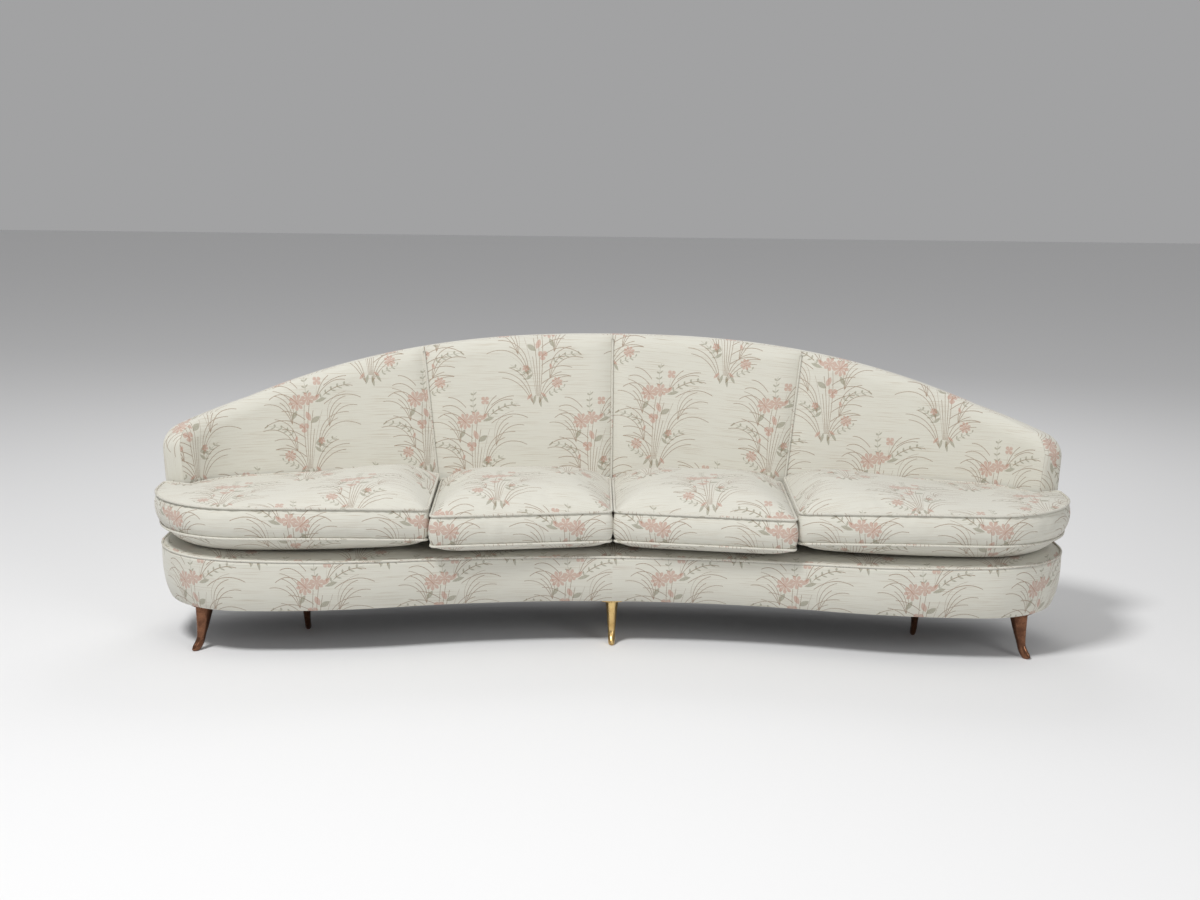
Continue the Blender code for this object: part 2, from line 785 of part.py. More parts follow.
frame_depth = cover_thickness + frame_setback
sill_foot = rail_top + touch
sill_top = sill_foot + sill_height
edge_inset = border_depth + touch
post_end = 1 - (edge_inset + arm_post_width) / inside_length
frame_end = post_end - rub / inside_length
top_rail_foot = edge_inset + top_rail_height


def level(height):
    return lambda share: height


def under_edge(inset, drop=0.0):
    return lambda share: float(edge_at(share, inset)) - drop


loft("back_sill", wall_sections(between(-frame_end, frame_end), level(sill_foot),
                                level(sill_top), back_frame_share, frame_depth), timber, sofa)
loft("back_top_rail", wall_sections(between(-frame_end, frame_end),
                                    under_edge(edge_inset, border_fall + top_rail_height),
                                    under_edge(edge_inset, border_fall),
                                    back_frame_share, frame_depth),
     timber, sofa)
post_half_share = post_width / 2 / inside_length
post_middles = (-outer_post_share, -seam_head_share, 0.0, seam_head_share, outer_post_share)
post_names = ("far_left", "left", "middle", "right", "far_right")
for name, middle in zip(post_names, post_middles):
    shares = between(middle - post_half_share, middle + post_half_share)
    loft("back_post_" + name, wall_sections(
        shares, level(sill_top + touch),
        under_edge(edge_inset, border_fall + top_rail_height + rub),
        back_frame_share, frame_depth), timber, sofa)
arm_post_shares = corner_shares(edge_inset)
arm_post_shares = np.concatenate([[post_end], arm_post_shares[arm_post_shares > post_end]])
for side, name in ((-1, "arm_post_left"), (1, "arm_post_right")):
    loft(name, wall_sections(side * arm_post_shares, level(sill_foot),
                             under_edge(edge_inset, border_fall),
                             back_frame_share, frame_depth), timber, sofa)

back_strap_middles = (np.arange(back_strap_count) - (back_strap_count - 1) / 2)
back_strap_middles *= 2 * back_strap_end_share / (back_strap_count - 1)
upright_edges = strap_edges(back_strap_middles, strap_width / 2 / inside_length)
turns = both_sides(station_shares)
turns = turns[np.abs(turns) < upright_edges[-1]]
strap_shares = np.unique(np.concatenate([upright_edges, turns]))
strap_foot = sill_foot + sill_height / 2
crosswise = strap_edges(back_crosswise_shares, strap_width / 2 / cushion_level)
strap_ups = np.array([0.0, *crosswise, 1.0])
strap_heads = edge_at(strap_shares, edge_inset) - border_fall - top_rail_height / 2
strap_heights = strap_foot + (strap_heads - strap_foot)[:, None] * strap_ups
strap_faces = [back_point(strap_shares[:, None], strap_heights, share)
               for share in back_strap_shares]
kept = under_straps(strap_shares, upright_edges)[:, None] | under_straps(strap_ups, crosswise)
mat("back_webbing", *strap_faces, kept, webbing, sofa)

# Inside back: four padded panels, crowned and drawn in at their seams.
pad_foot = apron_top - back_pad_drop
panel_height_shares = (0.0, 0.06, 0.25, 0.5, 0.75, 0.94, 1.0)
panel_rear_shares = (0.0, 0.5, 1.0)
panel_inset = edge_inset + rub
seam_half_share = touch / inside_length


def panel_sections(low_ends, high_ends, shares):
    """Upright sections of a panel: low_ends and high_ends are its shares at foot and head."""
    sections = []
    for along in shares:
        foot_share = low_ends[0] + (low_ends[1] - low_ends[0]) * along
        head_share = high_ends[0] + (high_ends[1] - high_ends[0]) * along
        head_height = float(edge_at(head_share, panel_inset))
        front, rear = [], []
        for up in panel_height_shares:
            share = foot_share + (head_share - foot_share) * up
            height = pad_foot + (head_height - pad_foot) * up
            fill = ((1 - abs(2 * along - 1) ** panel_fill_power)
                    * (1 - abs(2 * up - 1) ** panel_fill_power))
            front.append(square_point(share, height, seam_draw - (seam_draw + back_crown) * fill))
            if up in panel_rear_shares:
                backing = back_pad_share * square_thickness(share, height)
                rear.append(square_point(share, height, backing))
        sections.append(front + rear[::-1])
    return sections


middle_panel_shares = (0.0, 0.06, 0.2, 0.4, 0.6, 0.8, 0.94, 1.0)
outer_panel_start_shares = (0.0, 0.05, 0.2, 0.4, 0.55, 0.68, 0.78, 0.86)
outer_panel_head = corner_shares(panel_inset)
arm_share = outer_panel_head[-1]
head_reach = outer_panel_head - seam_head_share
outer_panel_shares = np.concatenate([outer_panel_start_shares,
                                     (head_reach / head_reach[-1])[1:]])
for side, word in ((-1, "left"), (1, "right")):
    low = np.array([seam_half_share, seam_foot_share - seam_half_share]) * side
    high = np.array([seam_half_share, seam_head_share - seam_half_share]) * side
    loft("back_panel_middle_" + word, panel_sections(low, high, middle_panel_shares),
         cloth, sofa)
    low = np.array([seam_foot_share + seam_half_share, arm_share]) * side
    high = np.array([seam_head_share + seam_half_share, arm_share]) * side
    loft("back_panel_outer_" + word, panel_sections(low, high, outer_panel_shares),
         cloth, sofa)

# Welts up the three seams, sunk between the drawn-in edges of the panels.
welt_depth = seam_draw - welt_radius - touch
for name, foot_share, head_share in (("seam_welt_left", -seam_foot_share, -seam_head_share),
                                     ("seam_welt_middle", 0.0, 0.0),
                                     ("seam_welt_right", seam_foot_share, seam_head_share)):
    head_height = float(edge_at(head_share, edge_inset)) - 2 * welt_radius
    path = []
    for up in panel_rear_shares:
        share = foot_share + (head_share - foot_share) * up
        height = pad_foot + (head_height - pad_foot) * up
        path.append(square_point(share, height, welt_depth))
    add_object(name, tube_data(name, [path], welt_radius, False), cloth, sofa)

# Border: one boxed band over the top of the back and down both arm fronts, with plain seams.
band_rows = ((border_depth, None), (border_edge, 0.0), (0.0, border_shoulder_share),
             (-border_crown, 0.5), (0.0, 1 - border_shoulder_share), (border_edge, 1.0),
             (border_depth, 1.0))
band_lines = []
for inset, across in band_rows:
    shares, heights = edge_row(inset)
    if across is None:
        across = depth_share_in(shares, heights, seam_draw)
    band_lines.append(back_point(shares, fallen(shares, heights, across), across))
band_sections = np.stack(band_lines, axis=1)
loft("border_band", band_sections, cloth, sofa)

# Outside cover: one shell from the apron welt up to the border, and round both arms.
cover_shares = corner_shares(edge_inset)
cover_half = np.concatenate([station_shares[station_shares < cover_shares[0]], cover_shares])
cover_sections = []
for share in both_sides(cover_half):
    x = along_line(abs(share), outside_line[:, :1])[0]
    heights = np.array([apron_top + climb(x) + welt_radius + touch,
                        fallen(share, edge_at(share, edge_inset), 1.0)])
    outer = back_point(share, heights, 1.0)
    inner = back_point(share, heights, depth_share_out(share, heights, cover_thickness))
    cover_sections.append([outer[0], outer[1], inner[1], inner[0]])
loft("outside_cover", cover_sections, cloth, sofa)

# Loose cushions: their backs lean with the inside back, so the outline changes as it rises.
seat_clear = back_crown + max(cushion_wall_bulge, welt_radius) + cushion_back_clearance
facing_clear = seat_clear - back_crown + border_crown


def seat_back_line(low_share, high_share, height):
    """Plan points just in front of the inside back, from one share to another."""
    shares = between(low_share, high_share)
    near = back_faces(shares, np.full(len(shares), height))[0]
    return near - along_line(np.abs(shares), inside_line[:, 2:]) * seat_clear


def share_at(x):
    """The share of the inside back line that lies at a place across the sofa."""
    return float(np.interp(x, inside_line[:, 0], station_shares))


def evenly(line, count, start_trim, end_trim):
    """A line of plan points laid out again in even steps, with both its ends trimmed."""
    length = np.concatenate([[0], np.cumsum(np.linalg.norm(np.diff(line, axis=0), axis=1))])
    marks = np.linspace(start_trim, length[-1] - end_trim, count + 1)
    return np.stack([np.interp(marks, length, column) for column in line.T], -1)


def rounded(trimmed, corner, following):
    """Two points that round a corner between the trimmed end of a line and the next side."""
    landing = corner + (following - corner) / np.linalg.norm(following - corner) * cushion_corner
    return [(trimmed + 2 * corner + landing) / 4, landing]


def cushion_lines(front, stretches, steps):
    """Front and back halves of a cushion's outline, with as many points, left to right.

    The back is one or two stretches that meet at a sharp corner, each with its own steps.
    """
    first, last = stretches[0][0], stretches[-1][-1]
    back = []
    for line, count in zip(stretches, steps):
        start_trim = cushion_corner if line is stretches[0] else 0
        end_trim = cushion_corner if line is stretches[-1] else 0
        back.append(evenly(line, count, start_trim, end_trim)[0 if start_trim else 1:])
    back = np.concatenate(back)
    ahead = evenly(front, sum(steps), cushion_corner, cushion_corner)
    halves = []
    for line, start, end, beyond in ((ahead, front[0], front[-1], (first, last)),
                                     (back, first, last, (front[0], front[-1]))):
        halves.append(np.concatenate([rounded(line[0], start, beyond[0])[::-1], line,
                                      rounded(line[-1], end, beyond[1])]))
    return halves


half_gap = cushion_gap / 2
cushion_split_front = base_half_width * cushion_split_front_share
cushion_split_back = base_half_width * cushion_split_back_share
split_share = share_at(cushion_split_back)


def middle_lines(height):
    """A middle cushion: its straight front spans the hollow and stands out at its corner."""
    corner_x = cushion_split_front - half_gap
    corner_y = depth_on(front_half, corner_x) - middle_corner_overhang
    back = seat_back_line(rub / inside_length, split_share, height)
    back[0, 0] = half_gap
    back[-1, 0] = cushion_split_back - half_gap
    front = np.array([(half_gap, -middle_overhang), (corner_x, corner_y)])
    return cushion_lines(front, [back], [middle_cushion_steps])


def end_lines(height):
    """An end cushion: it follows the base round the corner and has an ear before the arm."""
    corner_x = cushion_split_front + half_gap
    back = seat_back_line(split_share, 1.0, height)
    back[0, 0] = cushion_split_back + half_gap
    near, far = back_faces(1.0, height)
    across = (far - near) / np.linalg.norm(far - near)
    ear_inside = near + np.array([across[1], -across[0]]) * facing_clear - across * seat_clear
    back = np.concatenate([back[:-1], [ear_inside]])
    front = offset(front_half[:-1], cushion_overhang)
    ear_out = ear_inside + across * (front[-1, 0] - ear_inside[0]) / across[0]
    start = (corner_x, depth_on(front, corner_x))
    front = np.concatenate([[start], front[front[:, 0] > corner_x + rub]])
    return cushion_lines(front, [back, np.array([ear_inside, ear_out])], end_cushion_steps)


def edge_distance(spots, outline):
    """How far plan points lie from the nearest edge of an outline."""
    ends = np.roll(outline, -1, axis=0)
    run = ends - outline
    reach = spots[..., None, :] - outline
    along = np.clip((reach * run).sum(-1) / (run ** 2).sum(-1), 0, 1)
    return np.linalg.norm(reach - run * along[..., None], axis=-1).min(-1)


def pushed(ahead, behind, distance):
    """Both halves of an outline moved outward by a distance, square to its edges."""
    outline = np.concatenate([ahead, behind[::-1]])
    run = np.roll(outline, -1, axis=0) - outline
    run /= np.linalg.norm(run, axis=1, keepdims=True)
    after = np.stack([run[:, 1], -run[:, 0]], -1)
    before = np.roll(after, 1, axis=0)
    mitre = (before + after) / (1 + (before * after).sum(-1, keepdims=True))
    moved = outline + mitre * distance
    return moved[:len(ahead)], moved[len(ahead):][::-1]


wall_shares = ((0.0, 0.0), (0.28, 1.0), (0.72, 1.0), (1.0, 0.0))
crown_run_shares = np.array([0.045, 0.15, 0.32, 0.5, 0.68, 0.85, 0.955])


def face_grid(ahead, behind, run_shares):
    """Plan points of a cushion's upper or lower face, from front to back in each row."""
    runs = np.concatenate([[0], run_shares, [1]])[None, :, None]
    return ahead[:, None] + (behind - ahead)[:, None] * runs


def fullness(grid, reach):
    """How full a cushion is over its plan points, from 0 at its seam to 1 a reach inside it."""
    outline = np.concatenate([grid[:, 0], grid[-1, 1:], grid[-2::-1, -1], grid[0, -2:0:-1]])
    inside = np.minimum(edge_distance(grid, outline) / reach, 1.0)
    return 1 - (1 - inside) ** cushion_swell_power


def seam_lift(x):
    """How far the seams of an end cushion are drawn up towards the arm."""
    way = np.clip((x - cushion_split_front) / end_seam_lift_reach, 0.0, 1.0)
    return end_seam_lift * np.sin(way * quarter)


def cushion(name, lines_at, side):
    """A boxed cushion that rests on the deck, and the two welts round its seams."""
    seam_level = apron_top + deck_crown + cushion_belly
    low, high = lines_at(seam_level), lines_at(seam_level + cushion_height)
    low_grid = face_grid(*pushed(*low, -cushion_low_seam_inset), crown_run_shares)
    high_grid = face_grid(*pushed(*high, -cushion_high_seam_inset), crown_run_shares)
    empty, full = (1 - fullness(low_grid, cushion_belly_reach),
                   fullness(high_grid, cushion_crown_reach))
    low_rise = seam_lift(low_grid[..., 0]) * empty - cushion_belly * (1 - empty)
    high_rise = seam_lift(high_grid[..., 0]) * (1 - full) + cushion_crown * full
    seam_low = float((deck_height(low_grid, deck_crown_width) - low_rise).max()) + rub
    seam_high = seam_low + cushion_height
    walls = []
    for up, fill in wall_shares:
        seam_inset = cushion_low_seam_inset + (cushion_high_seam_inset - cushion_low_seam_inset) * up
        inset = cushion_wall_bulge * fill - seam_inset * (1 - fill)
        line = [foot + (head - foot) * up for foot, head in zip(low, high)]
        walls.append((*pushed(*line, inset), seam_low + cushion_height * up))
    sections = []
    for row in range(len(low_grid)):
        section = [(*ahead[row], z + seam_lift(ahead[row, 0])) for ahead, behind, z in walls]
        section += [(*spot, seam_high + rise)
                    for spot, rise in zip(high_grid[row, 1:-1], high_rise[row, 1:-1])]
        section += [(*behind[row], z + seam_lift(behind[row, 0]))
                    for ahead, behind, z in reversed(walls)]
        section += [(*spot, seam_low + rise)
                    for spot, rise in zip(low_grid[row, -2:0:-1], low_rise[row, -2:0:-1])]
        sections.append(section)
    centre = np.array([*low_grid.mean(axis=(0, 1)), seam_low])
    flip = np.array([side, 1, 1])
    made = loft(name, [[(point - centre) * flip for point in section] for section in sections],
                cloth, sofa)
    made.location = centre * flip
    for lines, height, word in ((low, seam_low, "_lower_welt"), (high, seam_high, "_upper_welt")):
        grid = face_grid(*pushed(*lines, -cushion_welt_inset), crown_run_shares)
        ring = np.concatenate([grid[:, 0], grid[-1, 2:-1:2], grid[::-1, -1], grid[0, -3:0:-2]])
        path = [((x, y, height + seam_lift(x)) - centre) * flip for x, y in ring]
        welt = add_object(name + word, tube_data(name + word, [path], welt_radius, True),
                          cloth, sofa)
        welt.location = made.location


for side, word in ((-1, "left"), (1, "right")):
    cushion("cushion_middle_" + word, middle_lines, side)
    cushion("cushion_end_" + word, end_lines, side)

# The part's origin is on the floor, under the middle of its whole box.
bpy.context.view_layer.update()
corners = np.array([piece.matrix_world @ Vector(corner) for piece in sofa.children
                    if not piece.hide_render for corner in piece.bound_box])
sofa.location = (0, -(corners[:, 1].min() + corners[:, 1].max()) / 2, 0)
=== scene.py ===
"""Looks of the curved sofa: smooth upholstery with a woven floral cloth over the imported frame."""
import math

import bpy
import numpy as np
from mathutils import Matrix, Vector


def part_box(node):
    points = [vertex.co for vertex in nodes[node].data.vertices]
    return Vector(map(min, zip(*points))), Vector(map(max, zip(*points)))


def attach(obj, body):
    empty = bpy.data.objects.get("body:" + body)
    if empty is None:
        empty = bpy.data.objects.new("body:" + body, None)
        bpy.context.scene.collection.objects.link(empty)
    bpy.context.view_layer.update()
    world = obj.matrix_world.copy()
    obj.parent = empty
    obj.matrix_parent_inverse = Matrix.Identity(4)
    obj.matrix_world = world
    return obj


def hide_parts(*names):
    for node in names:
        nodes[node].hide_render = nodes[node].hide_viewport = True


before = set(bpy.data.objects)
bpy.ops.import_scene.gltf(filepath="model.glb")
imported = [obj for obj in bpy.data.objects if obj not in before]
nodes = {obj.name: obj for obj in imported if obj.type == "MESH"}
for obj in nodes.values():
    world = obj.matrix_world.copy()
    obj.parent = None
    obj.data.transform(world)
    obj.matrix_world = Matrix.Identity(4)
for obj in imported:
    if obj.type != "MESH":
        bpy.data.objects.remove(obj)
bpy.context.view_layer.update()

# Base frame, back frame and blocks: steamed beech, planed, glued and screwed. All of it is inside
# the covers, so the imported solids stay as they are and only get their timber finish.


def new_material(name, colour, roughness, metallic=0.0, sheen=0.0):
    """A node material: its shader with constant values on the shader's own sockets."""
    material = bpy.data.materials.new(name)
    material.use_nodes = True
    shader = material.node_tree.nodes["Principled BSDF"]
    shader.inputs["Base Color"].default_value = (*colour, 1)
    shader.inputs["Roughness"].default_value = roughness
    shader.inputs["Metallic"].default_value = metallic
    if sheen:
        shader.inputs["Sheen Weight"].default_value = sheen
        shader.inputs["Sheen Roughness"].default_value = 0.5
    return material


class Web:
    """Short calls that add one node each to a material's tree."""

    def __init__(self, tree):
        self.tree = tree

    def node(self, kind, **settings):
        """A new node of a kind, with its settings."""
        made = self.tree.nodes.new(kind)
        for name, value in settings.items():
            setattr(made, name, value)
        return made

    def join(self, source, target):
        """Leads an output to a socket, or gives the socket a constant value."""
        source = getattr(source, "source", source)
        if hasattr(source, "is_output"):
            self.tree.links.new(source, target)
        else:
            target.default_value = source

    def math(self, operation, *terms):
        """One step of arithmetic."""
        made = self.node("ShaderNodeMath", operation=operation)
        for number, term in enumerate(terms):
            self.join(term, made.inputs[number])
        return made.outputs[0]

    def split(self, vector):
        """The first two parts of a vector, as amounts."""
        made = self.node("ShaderNodeSeparateXYZ")
        self.join(vector, made.inputs[0])
        return Amount(self, made.outputs[0]), Amount(self, made.outputs[1])

    def scaled(self, vector, scale):
        """A vector with each of its parts multiplied by a scale of its own."""
        made = self.node("ShaderNodeMapping")
        self.join(vector, made.inputs["Vector"])
        made.inputs["Scale"].default_value = scale
        return made.outputs[0]

    def noise(self, vector, scale, detail, roughness=0.5):
        """Smooth random values from 0 to 1."""
        made = self.node("ShaderNodeTexNoise")
        self.join(vector, made.inputs["Vector"])
        made.inputs["Scale"].default_value = scale
        made.inputs["Detail"].default_value = detail
        made.inputs["Roughness"].default_value = roughness
        return made.outputs["Fac"]

    def eased(self, value, low, high, start=0.0, end=1.0):
        """An S-curve from a start to an end while the value goes from low to high."""
        made = self.node("ShaderNodeMapRange", interpolation_type="SMOOTHSTEP")
        for number, term in enumerate((value, low, high, start, end)):
            self.join(term, made.inputs[number])
        return made.outputs[0]

    def mixed(self, share, first, second):
        """A colour between two, by a share of the second."""
        made = self.node("ShaderNodeMix", data_type="RGBA")
        for slot, term in ((0, share), (6, first), (7, second)):
            if isinstance(term, tuple):
                term = (*term, 1)[:4]
            self.join(term, made.inputs[slot])
        return made.outputs[2]

    def bump(self, height, strength, distance):
        """Normals tilted by the slope of a height."""
        made = self.node("ShaderNodeBump")
        self.join(height, made.inputs["Height"])
        made.inputs["Strength"].default_value = strength
        made.inputs["Distance"].default_value = distance
        return made.outputs[0]

    def finish(self, colour, relief, strength, distance, roughness=None):
        """Leads a colour, a bump and perhaps a roughness to the shader."""
        shader = self.tree.nodes["Principled BSDF"]
        self.join(colour, shader.inputs["Base Color"])
        self.join(self.bump(relief, strength, distance), shader.inputs["Normal"])
        if roughness is not None:
            self.join(roughness, shader.inputs["Roughness"])


class Amount:
    """A number in a material's tree, so that a formula can be written as one."""

    def __init__(self, web, source):
        self.web, self.source = web, source

    def after(self, operation, *terms):
        """This number after one more step of arithmetic."""
        return Amount(self.web, self.web.math(operation, self, *terms))

    def __add__(self, term):
        return self.after("ADD", term)

    def __sub__(self, term):
        return self.after("SUBTRACT", term)

    def __mul__(self, term):
        return self.after("MULTIPLY", term)

    def __truediv__(self, term):
        return self.after("DIVIDE", term)

    def __lt__(self, term):
        return self.after("LESS_THAN", term)

    def __gt__(self, term):
        return self.after("GREATER_THAN", term)

    def __abs__(self):
        return self.after("ABSOLUTE")


def woven_on_object(material, pitch):
    """The web of a material, its place on the object, and two crossed sets of fine waves."""
    web = Web(material.node_tree)
    place = object_place(web)
    across, along = web.split(place)
    return web, place, (across * pitch).after("SINE") * (along * pitch).after("SINE")


def object_place(web):
    """The point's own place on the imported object, in metres."""
    return web.node("ShaderNodeTexCoord").outputs["Object"]


def beech_finish():
    """Growth rings as a noise stretched tenfold on the level, with dark flecks of a finer one."""
    material = new_material("planed_beech", (0.55, 0.36, 0.19), 0.6)
    web = Web(material.node_tree)
    place = object_place(web)
    grain = web.noise(web.scaled(place, (6, 6, 60)), 1.5, 4.0, 0.6)
    rays = web.noise(web.scaled(place, (40, 40, 400)), 2.0, 2.0, 0.7)
    colour = web.mixed(grain, (0.47, 0.29, 0.14), (0.66, 0.46, 0.27))
    colour = web.mixed(web.eased(rays, 0.62, 0.72), colour, (0.40, 0.24, 0.12))
    web.finish(colour, grain, 0.25, 0.0005)
    return material


def dress(node_names, material):
    """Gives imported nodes, which keep their shape, a finish made here."""
    for name in node_names:
        nodes[name].data.materials.clear()
        nodes[name].data.materials.append(material)


timber = [name for name in nodes if "rail" in name or "post" in name or "block" in name
          or name == "back_sill"]
dress(timber, beech_finish())

# Webbing: jute straps, tacked in the rabbets of the rails and on the back frame, woven over and
# under each other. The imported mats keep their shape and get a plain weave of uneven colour.


def jute_finish():
    """Crossed fine waves make the weave, and noise gives it its hairy, uneven colour."""
    material = new_material("jute", (0.45, 0.34, 0.2), 0.95)
    web, place, threads = woven_on_object(material, 2600)
    colour = web.mixed(web.noise(place, 90.0, 3.0), (0.34, 0.24, 0.13), (0.56, 0.44, 0.27))
    web.finish(colour, threads, 0.4, 0.0008)
    return material


dress(["seat_webbing", "back_webbing"], jute_finish())

# Legs: cast brass sabre legs with their plate, foot and toe in one piece, filed and left to
# tarnish. The middle ones are still golden, and the four others have gone copper brown.

floor_to_base = 0.140
plate_thickness, plate_depth, plate_width, plate_power = 0.003, 0.074, 0.070, 6.0
leg_root = 0.001
leg_top_depth, leg_top_width = 0.066, 0.034
leg_toe = 0.021
# The leg's profile at shares of its height: toe, heel and width, as shares of their sizes.
leg_ups = np.array([0.0, 0.035, 0.11, 0.21, 0.32, 0.50, 0.74, 1.0])
leg_toe_shares = np.array([0.55, 0.95, 0.78, 0.28, -0.04, -0.10, -0.05, 0.0])
leg_heel_shares = np.array([0.10, 0.19, 0.32, 0.42, 0.485, 0.64, 0.82, 1.0])
leg_width_shares = np.array([0.32, 0.47, 0.53, 0.545, 0.57, 0.66, 0.80, 1.0])
touch = 0.0003


def eased_between(places, knots, values):
    """A smooth curve through given values: each stretch is a cubic whose end slopes are the
    harmonic means of the slopes beside them, so it never overshoots."""
    steps = np.diff(knots)
    rises = np.diff(values) / steps
    left, right = rises[:-1], rises[1:]
    same_way = left * right > 0
    total = np.where(same_way, left + right, 1.0)
    slopes = np.concatenate([[rises[0]], np.where(same_way, 2 * left * right / total, 0),
                             [rises[-1]]])
    cell = np.clip(np.searchsorted(knots, places, side="right") - 1, 0, len(steps) - 1)
    t = (places - knots[cell]) / steps[cell]
    start, end = (1 + 2 * t) * (1 - t) ** 2, t * t * (3 - 2 * t)
    bent = t * (1 - t) ** 2 * slopes[cell] + t * t * (t - 1) * slopes[cell + 1]
    return start * values[cell] + end * values[cell + 1] + bent * steps[cell]


def grid_mesh(name, points, chart=None, round_rows=False):
    """A quad surface over a grid of points (rows, columns, xyz), closed round its columns. Its rows
    close on themselves too, or else the first and the last get a flat face. The chart is its cloth,
    laid flat in metres, with one more row or column where the way is round."""
    rows, columns = points.shape[:2]
    row_cells = rows - (not round_rows)
    i, j = (axis.ravel() for axis in np.meshgrid(np.arange(row_cells), np.arange(columns),
                                                 indexing="ij"))
    corners = np.stack([np.stack([i, j]), np.stack([i + 1, j]), np.stack([i + 1, j + 1]),
                        np.stack([i, j + 1])], -1)
    faces = (corners[0] % rows) * columns + corners[1] % columns
    spots = points.reshape(-1, 3)
    a, b, c, d = (spots[faces[:, k]] for k in range(4))
    inside_out = (np.cross(c - a, d - b) * (a + b + c + d)).sum() < 0
    if inside_out:
        faces, corners = faces[:, ::-1], corners[:, :, ::-1]
    loops = faces.ravel()
    starts = np.arange(len(faces)) * 4
    if not round_rows:
        first, last = np.arange(columns), (rows - 1) * columns + np.arange(columns)
        caps = (first, last[::-1]) if inside_out else (first[::-1], last)
        starts = np.concatenate([starts, len(loops) + np.arange(2) * columns])
        loops = np.concatenate([loops, *caps])
    mesh = bpy.data.meshes.new(name)
    mesh.vertices.add(len(spots))
    mesh.vertices.foreach_set("co", spots.ravel())
    mesh.loops.add(len(loops))
    mesh.loops.foreach_set("vertex_index", loops)
    mesh.polygons.add(len(starts))
    mesh.polygons.foreach_set("loop_start", starts)
    mesh.polygons.foreach_set("use_smooth", np.arange(len(starts)) < len(faces))
    if chart is not None:
        layer = mesh.uv_layers.new(name="cloth")
        laid = chart[corners[0], corners[1]].reshape(-1, 2)
        if not round_rows:
            laid = np.concatenate([laid, np.tile(laid[:1], (2 * columns, 1))])
        layer.uv.foreach_set("vector", laid.ravel())
    mesh.update(calc_edges=True)
    mesh.validate()
    return mesh


def piece(name, mesh, material, body, node):
    """Puts a finished mesh in the scene for a node, as a piece that rides on a body."""
    made = bpy.data.objects.new(name, mesh)
    bpy.context.collection.objects.link(made)
    mesh.materials.append(material)
    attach(made, body)
    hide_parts(node)
    return made


def leg_points(widening):
    """Rings up the leg: ovals whose front, rear and width follow smooth curves from the toe to the
    root, then the squared oval of the plate, with its edges broken by a small round."""
    sides, round_edge = 40, 0.0005
    ups = np.concatenate([np.linspace(0, 0.12, 12), np.linspace(0.14, 1, 40)])
    front = leg_toe * eased_between(ups, leg_ups, leg_toe_shares)
    rear = -leg_top_depth * eased_between(ups, leg_ups, leg_heel_shares)
    wide = widening * leg_top_width * eased_between(ups, leg_ups, leg_width_shares)
    plate_top = floor_to_base - touch
    low = plate_top - plate_thickness
    root = low - leg_root
    shrink = np.array([2, 0.4, 0, 0, 0.4, 2]) * round_edge
    rings = len(shrink)
    middle = np.concatenate([(front + rear) / 2, np.full(rings, -plate_depth / 2)])
    deep = np.concatenate([(front - rear) / 2, plate_depth / 2 - shrink])
    half = np.concatenate([wide / 2, plate_width / 2 - shrink])
    heights = np.concatenate([root * ups, [low, low + 0.3 * round_edge, low + round_edge,
                                           plate_top - round_edge, plate_top - 0.3 * round_edge,
                                           plate_top]])
    power = np.concatenate([np.full(len(ups), 2.0), np.full(rings, plate_power)])[:, None]
    turn = 2 * np.pi * np.arange(sides) / sides
    cos, sin = np.cos(turn), np.sin(turn)
    along = np.sign(cos) * np.abs(cos) ** (2 / power)
    across = np.sign(sin) * np.abs(sin) ** (2 / power)
    return np.stack([middle[:, None] + deep[:, None] * along, half[:, None] * across,
                     np.repeat(heights[:, None], sides, 1)], -1)


def set_out(points, place, turn):
    """Points turned about the upright and moved to a place in plan."""
    cos, sin = math.cos(turn), math.sin(turn)
    x, y, z = np.moveaxis(points, -1, 0)
    return np.stack([x * cos - y * sin + place[0], x * sin + y * cos + place[1], z], -1)


def brass_finish(name, bright, dull, dark, tarnish, roughness):
    """Two tones of metal mixed by a soft noise, dark in spots, smoother where it is bright."""
    material = new_material(name, bright, roughness, 1.0)
    web = Web(material.node_tree)
    place = object_place(web)
    patches = web.noise(place, 26.0, 4.0, 0.6)
    fine = web.noise(place, 240.0, 3.0, 0.7)
    colour = web.mixed(web.eased(patches, tarnish - 0.15, tarnish + 0.2), bright, dull)
    colour = web.mixed(web.eased(fine, 0.55, 0.75), colour, dark)
    web.finish(colour, fine, 0.12, 0.0006,
               web.eased(patches, 0.2, 0.8, roughness - 0.08, roughness + 0.18))
    return material


golden = brass_finish("golden_brass", (0.80, 0.58, 0.26), (0.62, 0.40, 0.15), (0.30, 0.18, 0.07),
                      0.55, 0.24)
aged = brass_finish("aged_brass", (0.27, 0.13, 0.075), (0.13, 0.06, 0.036), (0.09, 0.04, 0.028),
                    0.45, 0.22)
leg_turn = math.radians(40.0)
# Each leg's place along the sofa: its side, metal, slot and how much wider it is than packed.
legs = {"middle": (0, golden, "golden_brass", 1.22), "left": (-1, aged, "aged_brass", 1.08),
        "right": (1, aged, "aged_brass", 1.08)}
for row in ("front", "rear"):
    for word, (side, metal, slot, widening) in legs.items():
        node = f"leg_{row}_{word}"
        low, high = (np.array(corner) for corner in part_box(node))
        heading = math.pi / 2 if row == "rear" else side * leg_turn - math.pi / 2
        local = set_out(leg_points(widening), (0, 0), heading)
        shift = (low + high) / 2 - (local.reshape(-1, 3).max(0) + local.reshape(-1, 3).min(0)) / 2
        piece("sabre_" + node, grid_mesh("sabre_" + node, set_out(local, shift[:2], 0)),
              metal, "frame", node)

# Seat pad and deck: felt and foam on the webbing, under a deck sewn from the same woven cloth.
# The plan of the whole sofa is set out here, as two lines of arcs that flow into each other.

